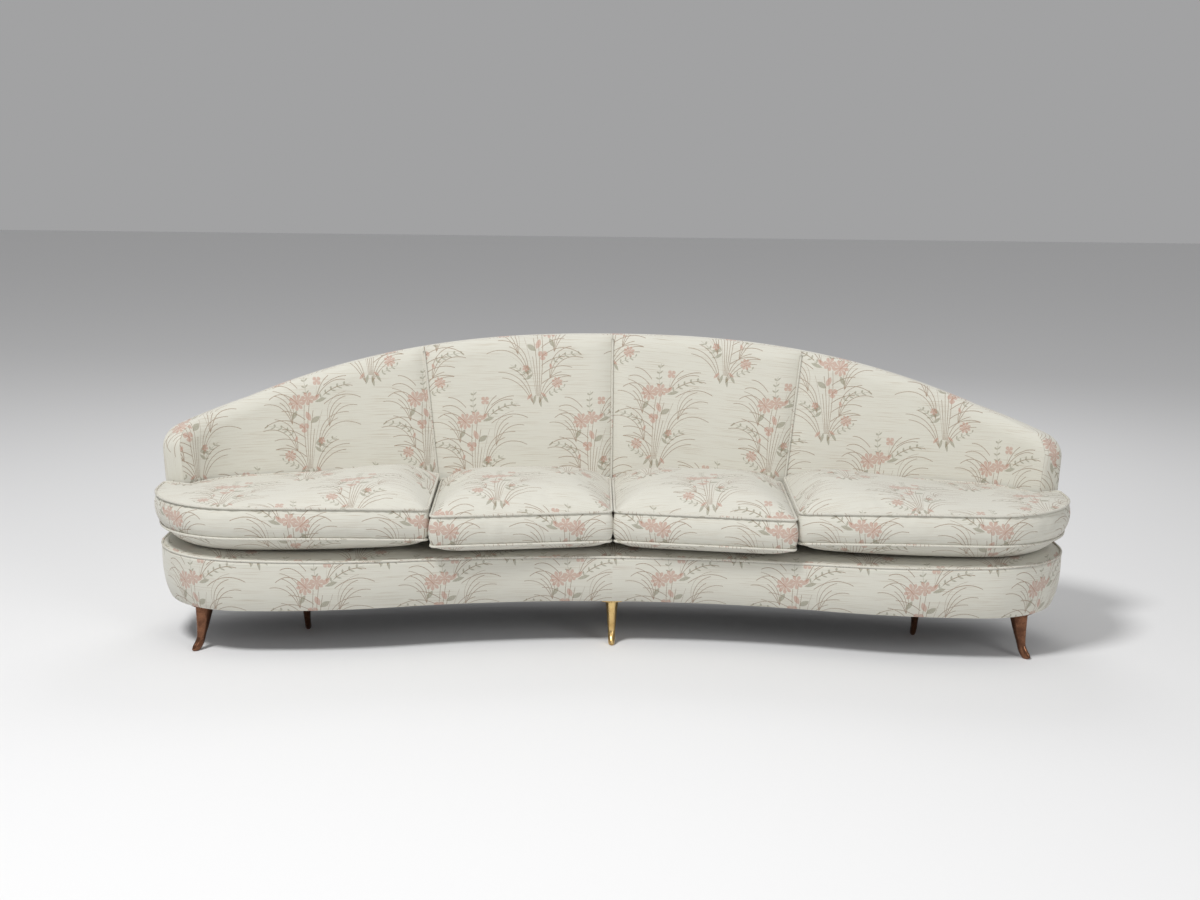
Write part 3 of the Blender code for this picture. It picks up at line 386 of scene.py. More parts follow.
base_half_width = 1.423
hollow_radius, hollow_depth = 2.35, 0.158
front_corner_radius = 0.293
side_length = 0.085
rear_corner_radius = 0.25
back_bow_depth = 0.196
base_height = 0.148
base_rise, base_rise_reach = 0.018, 0.843 * base_half_width
cushion_level = 0.460
seat_depth = 0.545
arm_inside_place = base_half_width - 0.063
arm_front_place = 0.193
inside_corner_radius = 0.31
inside_end_heading = math.radians(65.0)
inside_lean = math.tan(math.radians(12.5))
arm_lean = math.tan(math.radians(7.0))
border_width = 0.075
back_height = 0.911
arm_height = 0.640
arch_power = 2.43
arm_corner_radius = 0.056
border_fall = 0.012
welt_radius = 0.004
base_top = floor_to_base + base_height
quarter = math.pi / 2
# Steps of the front's arcs and side, and of the back's two arcs, each split by the fineness.
fineness = 6
front_steps, back_steps = (5, 4, 7, 1), (7, 5)


def plan_line(start, heading, runs):
    """Rows of x, y and the normal to the right of the way, along straights and arcs that flow on.
    A point of an arc is its centre plus the radius turned through an equal share of the turn."""
    rows = [np.array([[*start, math.sin(heading), -math.cos(heading)]])]
    for size, turn, steps in runs:
        x, y = rows[-1][-1, :2]
        share = np.arange(1, steps * fineness + 1) / (steps * fineness)
        angle = heading + turn * share
        if turn:
            swing = math.copysign(size, turn)
            px = x + swing * (np.sin(angle) - math.sin(heading))
            py = y - swing * (np.cos(angle) - math.cos(heading))
        else:
            px, py = x + size * share * math.cos(heading), y + size * share * math.sin(heading)
        rows.append(np.stack([px, py, np.sin(angle), -np.cos(angle)], -1))
        heading += turn
    return np.concatenate(rows)


def two_arcs(across, deep):
    """The turn that two arcs share when they meet smoothly, and the distance of their centres."""
    turn = 2 * math.atan(deep / across)
    return turn, across / math.sin(turn)


hollow_turn, hollow_reach = two_arcs(base_half_width - front_corner_radius, hollow_depth)
back_turn, back_reach = two_arcs(base_half_width - rear_corner_radius, back_bow_depth)
base_half = plan_line((0, 0), 0, (
    (hollow_radius, -hollow_turn, front_steps[0]),
    (hollow_reach - hollow_radius, hollow_turn, front_steps[1]),
    (front_corner_radius, quarter, front_steps[2]), (side_length, 0, front_steps[3]),
    (rear_corner_radius, quarter - back_turn, back_steps[1]),
    (back_reach + rear_corner_radius, back_turn, back_steps[0])))
side_station = sum(front_steps) * fineness
base_ring = np.concatenate([base_half, base_half[-2:0:-1] * np.array([-1, 1, -1, 1])])
front_half = base_half[:side_station + 1]
outside_line = base_half[:side_station - 1:-1]
inside_back_turn, inside_reach = two_arcs(
    arm_inside_place - inside_corner_radius * math.sin(inside_end_heading),
    seat_depth - arm_front_place - inside_corner_radius * (1 - math.cos(inside_end_heading)))
inside_radius = inside_reach + inside_corner_radius
inside_corner_turn = inside_end_heading - inside_back_turn
inside_line = plan_line((0, seat_depth), 0, (
    (inside_radius, -inside_back_turn, back_steps[0]),
    (inside_corner_radius, -inside_corner_turn, back_steps[1])))
inside_line[:, 2:] *= -1
inside_length = inside_radius * inside_back_turn + inside_corner_radius * inside_corner_turn
back_share = inside_radius * inside_back_turn / inside_length
stations = np.concatenate([np.linspace(0, back_share, back_steps[0] * fineness + 1),
                           np.linspace(back_share, 1, back_steps[1] * fineness + 1)[1:]])
# The plan starts at the middle of the front edge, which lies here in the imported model.
set_back = float(np.mean([corner[1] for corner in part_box("apron_welt")])) - float(
    (base_ring[:, 1].max() + base_ring[:, 1].min()) / 2)


def offset(line, distance):
    """Plan points of a line moved along its normals."""
    return line[:, :2] + line[:, 2:] * np.asarray(distance).reshape(-1, 1)


def climb(x):
    """Rise of the seat's edge at x: the square of the way to its reach, level from there."""
    return base_rise * np.minimum(np.abs(x) / base_rise_reach, 1) ** 2


def along_line(share, rows):
    """Values at shares of the way from the middle of the back to the arm's front."""
    return np.stack([np.interp(share, stations, column) for column in rows.T], -1)


crest = back_height - (back_height - arm_height) * (inside_line[:, 0]
                                                    / arm_inside_place) ** arch_power
lean = inside_lean + (arm_lean - inside_lean) * stations ** 2
border_line = offset(inside_line, lean * (crest - cushion_level) + border_width)
inside_slope = inside_line[:, 2:] * lean[:, None]
outside_slope = (border_line - outside_line[:, :2]) / (crest - border_fall - base_top)[:, None]
facing_across = border_line[-1] - offset(inside_line[-1:],
                                         lean[-1] * (crest[-1] - cushion_level))[0]
facing_across /= np.linalg.norm(facing_across)
facing_ahead = np.array([facing_across[1], -facing_across[0]])


def back_faces(share, height):
    """Plan points of the inside and the outside face: each leans straight from its own line, in
    proportion to height, and past the arm's front both run straight on."""
    share = np.abs(share)
    height = np.asarray(height)[..., None]
    ahead = np.maximum(share - 1, 0)[..., None] * inside_length * facing_ahead
    near = (along_line(share, inside_line[:, :2])
            + along_line(share, inside_slope) * (height - cushion_level) + ahead)
    far = (along_line(share, outside_line[:, :2])
           + along_line(share, outside_slope) * (height - base_top) + ahead)
    return near, far


def placed(plan, height):
    """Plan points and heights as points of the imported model."""
    plan, height = np.asarray(plan), np.asarray(height)
    return np.stack([plan[..., 0], plan[..., 1] + set_back,
                     np.broadcast_to(height, plan.shape[:-1])], -1)


deck_crown, deck_crown_width = 0.015, 0.085
deck_cloth_thickness = 0.0015
cover_thickness = 0.008
rail_top = base_top - 0.026
rub = 0.0006
deck_front_inset = welt_radius * 1.5 + touch
# Beside the arm's front the deck reaches further under the panel, and on under the arm in steps.
arm_reach, arm_reach_start, arm_step = 0.013, 0.985, 0.003


def deck_height(x, from_edge):
    """Height of the deck: a quarter sine swells it up behind its edge, which climbs to the ends."""
    swell = np.sin(np.minimum(from_edge / deck_crown_width, 1) * quarter)
    return base_top + climb(x) + deck_crown * swell


def deck_points(front_inset, drop, under_arm=0):
    """Upper face of the deck: straight runs from the front edge to the foot of the inside back,
    with steps that are shorter near the front, raised to the deck's height. Its last rows, under
    the arm's front, are held down to the foot of the border."""
    columns, shortening = 28, 1.6
    past_arm = deck_front_inset / inside_length
    last = side_station - fineness // 2
    front = offset(base_half[:last + 1], -front_inset)
    steps = np.linspace(0, len(stations), len(front))
    shares = np.interp(steps, np.arange(len(stations) + 1), [*stations, 1 + past_arm])
    rear = back_faces(shares, np.full(len(shares), rail_top))[0]
    behind = arm_reach * np.clip((shares - arm_reach_start) / (1 - arm_reach_start), 0, 1) - rub
    rear = rear + along_line(shares, inside_line[:, 2:]) * behind[:, None]
    under = np.arange(1, under_arm + 1)
    front = np.concatenate([front, offset(base_half[last + under], -front_inset)])
    rear = np.concatenate([rear, rear[-1] - facing_ahead * arm_step * under[:, None]])
    run = np.linspace(0, 1, columns) ** shortening
    plan = both_halves(front[:, None] + (rear - front)[:, None] * run[None, :, None])
    length = np.linalg.norm(plan[:, -1] - plan[:, 0], axis=-1)
    height = deck_height(plan[..., 0], length[:, None] * run)
    ends = np.minimum(np.arange(len(plan)), np.arange(len(plan))[::-1]) < under_arm
    height[ends] = np.minimum(height[ends], base_top + base_rise + welt_radius)
    return placed(plan, height - drop), length, run


def both_halves(half):
    """Rows of plan points from the sofa's middle to its right end, with their mirror images."""
    return np.concatenate([half[:0:-1] * np.array([-1, 1]), half])


def laid_flat(along, across):
    """A chart in metres from the way along the cloth and the way across it."""
    return np.stack(np.broadcast_arrays(along, across), -1)


def closed_sheet(upper, lower):
    """Sections that run over an upper face and back under its lower one."""
    return np.concatenate([upper, lower[:, ::-1]], 1)


foam = new_material("foam_and_felt", (0.70, 0.62, 0.42), 0.95)
under_cloth = deck_cloth_thickness + 0.0012
pad_upper = deck_points(cover_thickness + welt_radius + touch, under_cloth)[0]
pad_lower = pad_upper.copy()
pad_lower[..., 2] = rail_top + touch
pad = piece("seat_pad_foam", grid_mesh("seat_pad_foam", closed_sheet(pad_upper, pad_lower)),
            foam, "frame", "seat_pad")

repeat = (0.39, 0.60)
ground, slub = (0.635, 0.622, 0.548), (0.36, 0.26, 0.16)
taupe, olive, rose = (0.25, 0.155, 0.09), (0.21, 0.19, 0.115), (0.45, 0.225, 0.165)
spray_foot = -0.19


def turned_by(x, y, heading):
    """Steps along a heading, counted from upright to the right, and across it."""
    cos, sin = math.cos(heading), math.sin(heading)
    return x * sin + y * cos, x * cos - y * sin


def sickles(x, y, spread, gap, bend, reach, line=0.0010):
    """Grass from one root: rays of a fan whose angle from upright grows with the square of the
    distance, so that they arch over. They end unevenly."""
    far = (x * x + y * y).after("SQRT")
    turn = far * far * bend
    fan = x.after("ARCTAN2", y) - turn
    number = (fan / gap).after("ROUND")
    left_over = far - abs((number * 2.4 + 0.7).after("SINE")) * (0.35 * reach) - 0.65 * reach
    off = abs(fan - number * gap) * far / (turn * turn * 4.0 + 1.0).after("SQRT")
    return (off < line) * (fan > spread[0]) * (fan < spread[1]) * (left_over < 0.0)


def arches(x, y, wide, rise, gap, count):
    """Grass that springs from a stem at even steps: one parabola over and over, as high as its rise
    where it has gone its width, and ending unevenly beyond that."""
    way = x / wide
    climbed = y - (way * 2.0 - way * way) * rise
    number = (climbed / gap).after("ROUND")
    slope = (way * -1.0 + 1.0) * (2 * rise / wide)
    off = abs(climbed - number * gap) / (slope * slope + 1.0).after("SQRT")
    end = (number * 2.4 + 0.7).after("SINE") * 0.45 + 1.4
    within = (number > -0.5) * (number < count - 0.5)
    return (off < 0.0011) * (way > 0.0) * (way - end < 0.0) * within


def leaf(x, y, heading, length, width):
    """An almond: its half width is a parabola of the way along it."""
    along, across = turned_by(x, y, heading)
    middle = along * (2 / length) - 1.0
    return abs(across) / (width / 2) + middle * middle < 1.0


def twig(x, y, heading, bend, length, step, size):
    """A bent stem with a pair of leaves at each step, which slant forward from it."""
    along, across = turned_by(x, y, heading)
    beside = abs(across - along * along * bend)
    within = (along / step).after("FRACT") * step
    leaves = leaf(beside, within, math.radians(52), size, size * 0.36)
    return (leaves.after("MAXIMUM", beside < 0.0006)) * (along > 0.0) * (along < length)


def blossom(x, y, radius, petals):
    """Petals as a wavy edge round the middle, parted by clear lines outside the heart."""
    far = (x * x + y * y).after("SQRT")
    wave = abs((x.after("ARCTAN2", y) * (petals / 2)).after("SINE"))
    whole = far < (wave * 0.36 + 0.64) * radius
    return whole * (wave > 0.28).after("MAXIMUM", far < radius * 0.30)


def together(masks):
    """Wherever any one of the masks is."""
    joined = masks[0]
    for mask in masks[1:]:
        joined = joined.after("MAXIMUM", mask)
    return joined


def half_drop(u, v):
    """Steps across and up from the foot of a spray. One spray stands in each diamond of a half-drop
    repeat, and it is turned over in every other row."""
    wide, tall = repeat
    x, y = (u / wide + 0.5).after("FRACT"), (v / tall + 0.5).after("FRACT")
    x, y = (x - 0.5) * wide, (y - 0.5) * tall
    inside = abs(x) / (wide / 2) + abs(y) / (tall / 2) < 1.0
    other_x, other_y = (u / wide).after("FRACT"), (v / tall).after("FRACT")
    other_x, other_y = (other_x - 0.5) * -wide, (other_y - 0.5) * tall
    return other_x + (x - other_x) * inside, other_y + (y - other_y) * inside - spray_foot


def spray(x, y):
    """Masks of one spray: its grass, its twigs with the green leaves, and its blossoms with the
    rose ones. Each row of numbers places one of them."""
    def at(place_x, place_y, side=1.0):
        """Steps from a place, mirrored for the left side."""
        return (x - place_x) * side, y - place_y

    def leaves(rows):
        """Leaves by place, heading, length and width."""
        return [leaf(*at(*row[:2]), *row[2:]) for row in rows]

    def twigs(rows):
        """Twigs by place, side, heading, bend, length, step and leaf size."""
        return [twig(*at(*row[:3]), *row[3:]) for row in rows]

    def blossoms(rows):
        """Blossoms by place, radius and number of petals."""
        return [blossom(*at(*row[:2]), *row[2:]) for row in rows]

    lines = together([
        sickles(*at(-0.006, -0.05), (-0.15, 0.12), 0.060, 1.0, 0.28, line=0.0009) * (y > 0.005),
        arches(*at(-0.018, 0.045, -1.0), 0.072, 0.030, 0.030, 5),
        arches(*at(-0.040, 0.215, -1.0), 0.055, 0.034, 0.026, 3),
        sickles(*at(0.010, -0.02), (0.10, 0.62), 0.17, 21.0, 0.215),
        sickles(*at(0.026, 0.070), (-0.05, 0.50), 0.17, 30.0, 0.175),
        sickles(*at(-0.010, -0.02, -1.0), (0.10, 0.66), 0.18, 26.0, 0.195),
        sickles(*at(0.020, 0.235), (0.02, 0.75), 0.30, 34.0, 0.125, line=0.0011),
        sickles(*at(0.060, 0.140), (-0.20, 0.45), 0.20, 40.0, 0.130),
        sickles(*at(-0.060, 0.150, -1.0), (-0.20, 0.50), 0.19, 44.0, 0.125),
        sickles(*at(-0.045, 0.060, -1.0), (-0.05, 0.55), 0.20, 34.0, 0.150),
        arches(*at(0.045, 0.215), 0.075, 0.030, 0.030, 3),
    ])
    greens = together(twigs((
        (-0.012, 0.250, 1.0, -0.25, 3.5, 0.070, 0.019, 0.014),
        (0.035, 0.235, 1.0, 0.80, 3.4, 0.105, 0.021, 0.015),
        (-0.060, 0.120, -1.0, 0.90, 4.5, 0.085, 0.020, 0.014),
        (0.030, 0.060, 1.0, 0.55, 4.5, 0.070, 0.018, 0.014),
        (-0.045, 0.010, -1.0, 0.95, 3.0, 0.070, 0.018, 0.013),
    )) + leaves((
        (0.000, 0.155, 1.00, 0.036, 0.017), (-0.044, 0.195, -2.60, 0.034, 0.014),
        (0.016, 0.222, 1.25, 0.040, 0.011), (0.014, 0.085, 0.80, 0.032, 0.010),
        (0.016, 0.084, 1.60, 0.030, 0.010), (0.012, 0.078, 2.40, 0.026, 0.009),
        (-0.022, 0.010, -2.55, 0.034, 0.009), (-0.010, 0.004, -2.95, 0.038, 0.009),
        (0.002, 0.008, 2.90, 0.034, 0.009),
    )))
    pinks = together(blossoms((
        (-0.044, 0.222, 0.027, 9), (-0.008, 0.234, 0.022, 7), (-0.022, 0.140, 0.017, 3),
        (-0.070, 0.050, 0.019, 8), (0.024, 0.290, 0.015, 4), (0.034, 0.096, 0.012, 5),
    )) + leaves((
        (0.008, 0.226, 0.85, 0.032, 0.013), (-0.014, 0.192, 2.75, 0.034, 0.016),
        (-0.052, 0.096, 0.35, 0.018, 0.009), (0.014, 0.012, 2.45, 0.026, 0.009),
        (-0.016, 0.016, -2.20, 0.024, 0.008),
    )))
    return lines, greens, pinks


def woven_cloth(name, ground, strength):
    """Flowered jacquard on the cloth's own chart: sprays in a half-drop repeat, over a ground with
    weft slubs, which are a noise stretched across the cloth."""
    material = new_material(name, ground, 0.82, sheen=0.2)
    web = Web(material.node_tree)
    chart = web.node("ShaderNodeUVMap", uv_map="cloth").outputs[0]
    lines, greens, pinks = spray(*half_drop(*web.split(chart)))
    streaks = web.noise(web.scaled(chart, (7, 900, 1)), 1.0, 2.0, 0.5)
    yarn = web.noise(web.scaled(chart, (420, 1300, 1)), 1.0, 1.0)
    slubs = web.eased(streaks, 0.58, 0.68)
    woven = web.eased(yarn, 0.30, 0.55, 0.35, 1.0)
    colour = web.mixed(Amount(web, slubs) * 0.58, ground, slub)
    for mask, ink, depth in ((lines, taupe, 0.85), (greens, olive, 0.66), (pinks, rose, 0.66)):
        colour = web.mixed(mask * woven * (depth * strength), colour, ink)
    web.finish(colour, together([lines, greens, pinks]) * 0.5 + streaks, 0.25, 0.0012)
    return material


cloth = woven_cloth("woven_floral", ground, 1.0)
piping_cloth = woven_cloth("piping_cloth", (0.60, 0.585, 0.515), 0.8)

deck_upper, deck_length, deck_run = deck_points(deck_front_inset, 0.0, under_arm=3)
deck_lower = deck_upper - np.array([0, 0, deck_cloth_thickness])
base_cut = np.array([0.20, -0.05])
deck_up = base_height + deck_length[:, None] * deck_run
deck_chart = laid_flat(deck_upper[..., 0], deck_up) + base_cut
deck_chart = np.concatenate([deck_chart, deck_chart[:, ::-1], deck_chart[:, :1]], 1)
deck_mesh = grid_mesh("deck_cloth", closed_sheet(deck_upper, deck_lower), deck_chart)
deck_cloth = piece("deck_cloth", deck_mesh, cloth, "frame", "deck_cover")

# Base cover: cloth over wadding, pulled round the base rails and tacked under them. A piping of
# the same cloth is sewn along its upper edge.

base_tuck = 0.025


def base_cover_points():
    """The cover as a closed section carried round the base. Its face leans in towards the foot by
    a power of the way down, and its lower edge rolls under."""
    roll_share, roll_inset = 0.03, 0.004
    top = base_top + climb(base_ring[:, 0]) - welt_radius - touch
    ups = np.linspace(1, roll_share, 22)
    roll = np.linspace(0, quarter, 6)[1:]
    up = np.concatenate([ups, roll_share * (1 - np.sin(roll)), [0.0, roll_share, 1.0]])
    inset = base_tuck * (1 - up) ** 3.2
    inset[len(ups):len(ups) + len(roll)] += roll_inset * (1 - np.cos(roll))
    inset[-3:] += cover_thickness
    heights = floor_to_base + (top - floor_to_base)[:, None] * up
    return placed(base_ring[:, None, :2] - base_ring[:, None, 2:] * inset[:, None], heights)


def run_along(points):
    """Distance along a row of points, from 0."""
    return np.concatenate([[0], np.cumsum(np.linalg.norm(np.diff(points, axis=0), axis=-1))])


base_points = base_cover_points()
round_base = run_along(np.concatenate([base_ring[:, :2], base_ring[:1, :2]]))
down_base = run_along(np.concatenate([base_points[0], base_points[0, :1]]))
base_chart = laid_flat(round_base[:, None], base_height - down_base) + base_cut
base_mesh = grid_mesh("base_cover", base_points, base_chart, round_rows=True)
base_cover = piece("base_cover", base_mesh, cloth, "frame", "apron_cover")


def piping_mesh(name, path, outward, closed):
    """A cord sewn into a strip of cloth: a circle carried along a path, square to it, and turned so
    that its first point looks outward."""
    if closed:
        ahead = np.roll(path, -1, axis=0) - np.roll(path, 1, axis=0)
    else:
        ahead = np.gradient(path, axis=0)
    ahead /= np.linalg.norm(ahead, axis=1, keepdims=True)
    out = outward - ahead * (outward * ahead).sum(1, keepdims=True)
    out /= np.linalg.norm(out, axis=1, keepdims=True)
    over = np.cross(ahead, out)
    sides = 12
    turn = 2 * np.pi * np.arange(sides + 1) / sides
    cos, sin = np.cos(turn[:-1, None]), np.sin(turn[:-1, None])
    points = path[:, None] + welt_radius * (out[:, None] * cos + over[:, None] * sin)
    along = run_along(np.concatenate([path, path[:1]]))[:len(path) + closed]
    around = welt_radius * turn
    bias = laid_flat(along[:, None] + around, around - along[:, None])
    return grid_mesh(name, points, bias * math.sqrt(0.5), round_rows=closed)


def piped(name, path, outward, closed, body, node):
    """Puts a piping on a body for its node."""
    outward = np.broadcast_to(np.asarray(outward, float), path.shape)
    piece(name, piping_mesh(name, path, outward, closed), piping_cloth, body, node)


edge = placed(offset(base_ring, -welt_radius / 2), base_top + climb(base_ring[:, 0]))
piped("base_piping", edge, np.column_stack([base_ring[:, 2:], np.zeros(len(base_ring))]), True,
      "frame", "apron_welt")

# Dust cloth: one piece of thin black lining, cut a little inside the base, stretched under its
# rails and stapled there.

dust_inset = 0.035


def lining_finish():
    """A dense square weave, as the product of two fine waves, on near-black cotton."""
    material = new_material("black_lining", (0.02, 0.02, 0.021), 0.95)
    web, place, threads = woven_on_object(material, 4200)
    colour = web.mixed(web.noise(place, 14.0, 3.0), (0.014, 0.014, 0.015), (0.035, 0.035, 0.037))
    web.finish(colour, threads, 0.3, 0.0004)
    return material


def evenly(line, count, start_trim, end_trim):
    """A line laid out again in even steps, with both its ends trimmed."""
    length = run_along(line)
    marks = np.linspace(start_trim, length[-1] - end_trim, count + 1)
    return np.stack([np.interp(marks, length, column) for column in line.T], -1)


def lining_points():
    """Straight runs from the front edge to the rear edge, both laid out again in even steps."""
    front, rear = (evenly(offset(line, -dust_inset), 59, 0, 0)
                   for line in (front_half, outside_line))
    run = np.linspace(0, 1, 41)[None, :, None]
    plan = both_halves(front[:, None] + (rear - front)[:, None] * run)
    low, high = (corner[2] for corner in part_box("dust_cloth"))
    return placed(plan, low), placed(plan, high)


lining_low, lining_high = lining_points()
dust = piece("dust_lining", grid_mesh("dust_lining", closed_sheet(lining_high, lining_low)),
             lining_finish(), "frame", "dust_cloth")

# Inside back: four panels of cloth over wadding and foam, drawn in at their seams. Cord piping is
# sewn into the three seams.

seam_draw, back_crown = 0.0095, 0.010
seam_foot_share, seam_head_share = 0.395, 0.431
border_depth = 0.008
edge_inset = border_depth + touch
band_foot = base_top + base_rise + welt_radius + touch
pad_foot = base_top - 0.024
back_pad_share = 0.335


def edge_at(share, inset):
    """Height of the line an inset inside the arched edge: the arch, then a quarter circle."""
    share = np.abs(share)
    radius = arm_corner_radius - inset
    past = np.clip(share * inside_length - (inside_length - arm_corner_radius), 0, radius)
    return (np.interp(share, stations, crest) - arm_corner_radius
            + np.sqrt(radius ** 2 - past ** 2))


def fallen(share, height, across):
    """A height after the border's tilt, which grows from none at its foot to all at its crest."""
    top = edge_at(share, 0.0)
    return height - border_fall * across * (height - band_foot) / (top - band_foot)


def mirrored(share, plan):
    """Plan points mirrored where their share is negative."""
    return np.stack([plan[..., 0] * np.where(share < 0, -1, 1), plan[..., 1]], -1)


def square_thickness(share, height):
    """Thickness of the back, square to its inside face in plan."""
    near, far = back_faces(share, height)
    return ((far - near) * along_line(np.abs(share), inside_line[:, 2:])).sum(-1)


def square_point(share, height, depth):
    """Points a depth behind the inside face, square to it in plan, under the border's tilt."""
    height = fallen(share, height, np.maximum(depth, 0) / square_thickness(share, height))
    plan = back_faces(share, height)[0]
    plan = plan + along_line(np.abs(share), inside_line[:, 2:]) * depth[..., None]
    return placed(mirrored(share, plan), height)


seam_inset, tuck_inset = 0.002, 0.012
seam_roll, edge_roll = 0.075, 0.055


def filled(distance, reach):
    """How full padding is at a distance from a seam: one less a power of the way still to go."""
    return 1 - (1 - np.clip(distance / reach, 0, 1)) ** 2.3


def from_edge(share, height):
    """Distance from the arched edge and the arm's front, round the arm's corner."""
    beside = (1 - np.abs(share)) * inside_length
    below = edge_at(np.minimum(np.abs(share), 1 - arm_corner_radius / inside_length), 0.0) - height
    corner = np.minimum(np.minimum(beside, below), arm_corner_radius)
    near = np.maximum(arm_corner_radius - np.stack([beside, below]), 0)
    rounded_off = arm_corner_radius - np.hypot(*near)
    return np.where((near > 0).all(0), np.minimum(rounded_off, corner), np.minimum(beside, below))


def panel(name, low_ends, high_ends, alongs, node, cut):
    """A padded panel over shares along and up. Its face stands out by the product of how full it
    is from both its seams and from the edge, and it turns in at the edge to meet the border."""
    levels = 64
    behind_levels = [levels - 1, levels - 1, 30, 0]
    reaches_arm = np.abs(high_ends[1]) > 0.9
    ups = 1 - np.linspace(1, 0, levels) ** 1.5
    along, up = np.meshgrid(alongs, ups, indexing="ij")
    foot = low_ends[0] + (low_ends[1] - low_ends[0]) * along
    head = high_ends[0] + (high_ends[1] - high_ends[0]) * along
    share = foot + (head - foot) * up
    height = pad_foot + (edge_at(head, seam_inset) - pad_foot) * up
    low_seam = low_ends[0] + (high_ends[0] - low_ends[0]) * up
    high_seam = low_ends[1] + (high_ends[1] - low_ends[1]) * up
    full = filled(np.abs(share - low_seam) * inside_length, seam_roll)
    if not reaches_arm:
        full = full * filled(np.abs(share - high_seam) * inside_length, seam_roll)
    full = full * filled(from_edge(share, height) - seam_inset, edge_roll)
    front = square_point(share, height, seam_draw - (seam_draw + back_crown) * full)
    side = np.sign(low_ends[1])
    behind = side * np.minimum(np.abs(share), arm_tuck)[:, behind_levels]
    level = np.minimum(height[:, behind_levels], edge_at(behind, tuck_inset))
    depth = back_pad_share * square_thickness(behind, level)
    depth[:, 0] = seam_draw
    section = np.concatenate([front, square_point(behind, level, depth)], 1)
    if reaches_arm:
        tuck = side * np.full(levels, arm_tuck)
        level = np.minimum(height[-1], edge_at(tuck[-1], tuck_inset + touch))
        last = square_point(tuck, level, np.full(levels, seam_draw))
        section = np.concatenate([section, np.concatenate([last, section[-1, levels:]])[None]])
    chart = np.zeros((*section.shape[:2], 2))
    laid = laid_flat(share * inside_length, height)
    cos, sin = math.cos(math.radians(cut[2])), math.sin(math.radians(cut[2]))
    chart[:len(share), :levels] = laid @ np.array([[cos, sin], [-sin, cos]]) + cut[:2]
    chart[:len(share), levels:] = chart[:len(share), levels - 1:levels]
    chart[len(share):] = chart[len(share) - 1]
    chart = np.concatenate([chart, chart[:, :1]], 1)
    made = piece(name, grid_mesh(name, section, chart), cloth, "frame", node)


corner_turns = np.linspace(0, quarter, 13)


def corner_shares(inset):
    """Shares along the arm's rounded corner, for a line that runs an inset inside it."""
    reach = (arm_corner_radius - inset) * np.sin(corner_turns)
    return 1 - (arm_corner_radius - reach) / inside_length


half_seam = touch / inside_length
middle_alongs = (1 - np.cos(np.linspace(0, np.pi, 41))) / 2
outer_head = corner_shares(seam_inset)
arm_share = outer_head[-1]
arm_tuck = 1 - tuck_inset / inside_length
outer_tail = (outer_head - seam_head_share) / (arm_share - seam_head_share)
outer_alongs = np.concatenate([np.linspace(0, outer_tail[0], 62)[:-1], outer_tail])
# Where each panel was cut from the cloth: its shift along and up, and its turn in degrees.
cuts = {"left": ((0.06, 0.01, 0.0), (-0.165, -0.065, 0.0)),
        "right": ((0.285, -0.095, 5.0), (-0.127, 0.115, 0.0))}
for side, word in ((-1, "left"), (1, "right")):
    middle_cut, outer_cut = cuts[word]
    panel("inside_back_middle_" + word,
          np.array([half_seam, seam_foot_share - half_seam]) * side,
          np.array([half_seam, seam_head_share - half_seam]) * side,
          middle_alongs, "back_panel_middle_" + word, middle_cut)
    panel("inside_back_outer_" + word,
          np.array([seam_foot_share + half_seam, arm_share]) * side,
          np.array([seam_head_share + half_seam, arm_share]) * side,
          outer_alongs, "back_panel_outer_" + word, outer_cut)

welt_depth = seam_draw - welt_radius - touch
for side, word in ((-1, "left"), (0, "middle"), (1, "right")):
    up = np.linspace(0, 1, 60)
    head = side * seam_head_share
    share = side * seam_foot_share + side * (seam_head_share - seam_foot_share) * up
    top = edge_at(np.array([head]), edge_inset)[0] - 2 * welt_radius
    path = square_point(share, pad_foot + (top - pad_foot) * up, np.full(60, welt_depth))
    piped("back_piping_" + word, path, (0, -1, 0), False, "frame", "seam_welt_" + word)

# Border: one long boxed strip over the top of the back and down both arm fronts, padded a little.
# Its inner edge is joined to the panels by a plain seam, pulled in between the paddings.

border_crown, border_edge = 0.003, 0.003


def both_sides(shares):
    """Shares from the middle to one arm, carried on to the other arm as negative ones."""
    return np.concatenate([-shares[:0:-1], shares])


def edge_row(inset):
    """Shares and heights along the whole arched edge and down both arms."""
    turned = corner_shares(inset)
    top = np.concatenate([stations[stations < turned[0]], turned])
    down = np.linspace(edge_at(turned[-1], inset), band_foot, 16)[1:]
    shares = np.concatenate([top, np.full(len(down), turned[-1])])
    heights = np.concatenate([edge_at(top, inset), down])
    return both_sides(shares), np.concatenate([heights[:0:-1], heights])


def back_point(share, height, depth_share):
    """Points through the back, from its inside face (0) to its outside face (1)."""
    near, far = back_faces(share, height)
    return placed(mirrored(share, near + (far - near) * np.asarray(depth_share)[..., None]), height)


def depth_share_in(share, height, depth):
    """A depth in metres as a share of the way through the back."""
    near, far = back_faces(share, height)
    return depth / np.linalg.norm(far - near, axis=-1)


def border_points():
    """Rows along the edge for each step across the strip: it stands proud by a parabola, and both
    edges roll over by a high power of the way from its middle."""
    across = np.concatenate([[0.0], (1 - np.cos(np.linspace(0, np.pi, 17))) / 2, [1.0]])
    from_middle = np.abs(2 * across - 1)
    inset = border_edge * from_middle ** 8 - border_crown * (1 - from_middle ** 2)
    inset[[0, -1]] = tuck_inset, border_depth
    lines = []
    for deep, share_across in zip(inset, across):
        shares, heights = edge_row(deep)
        start = depth_share_in(shares, heights, seam_draw + 2 * touch)
        part = start + (1 - start) * share_across
        lines.append(back_point(shares, fallen(shares, heights, part), part))
    return np.stack(lines, 1)


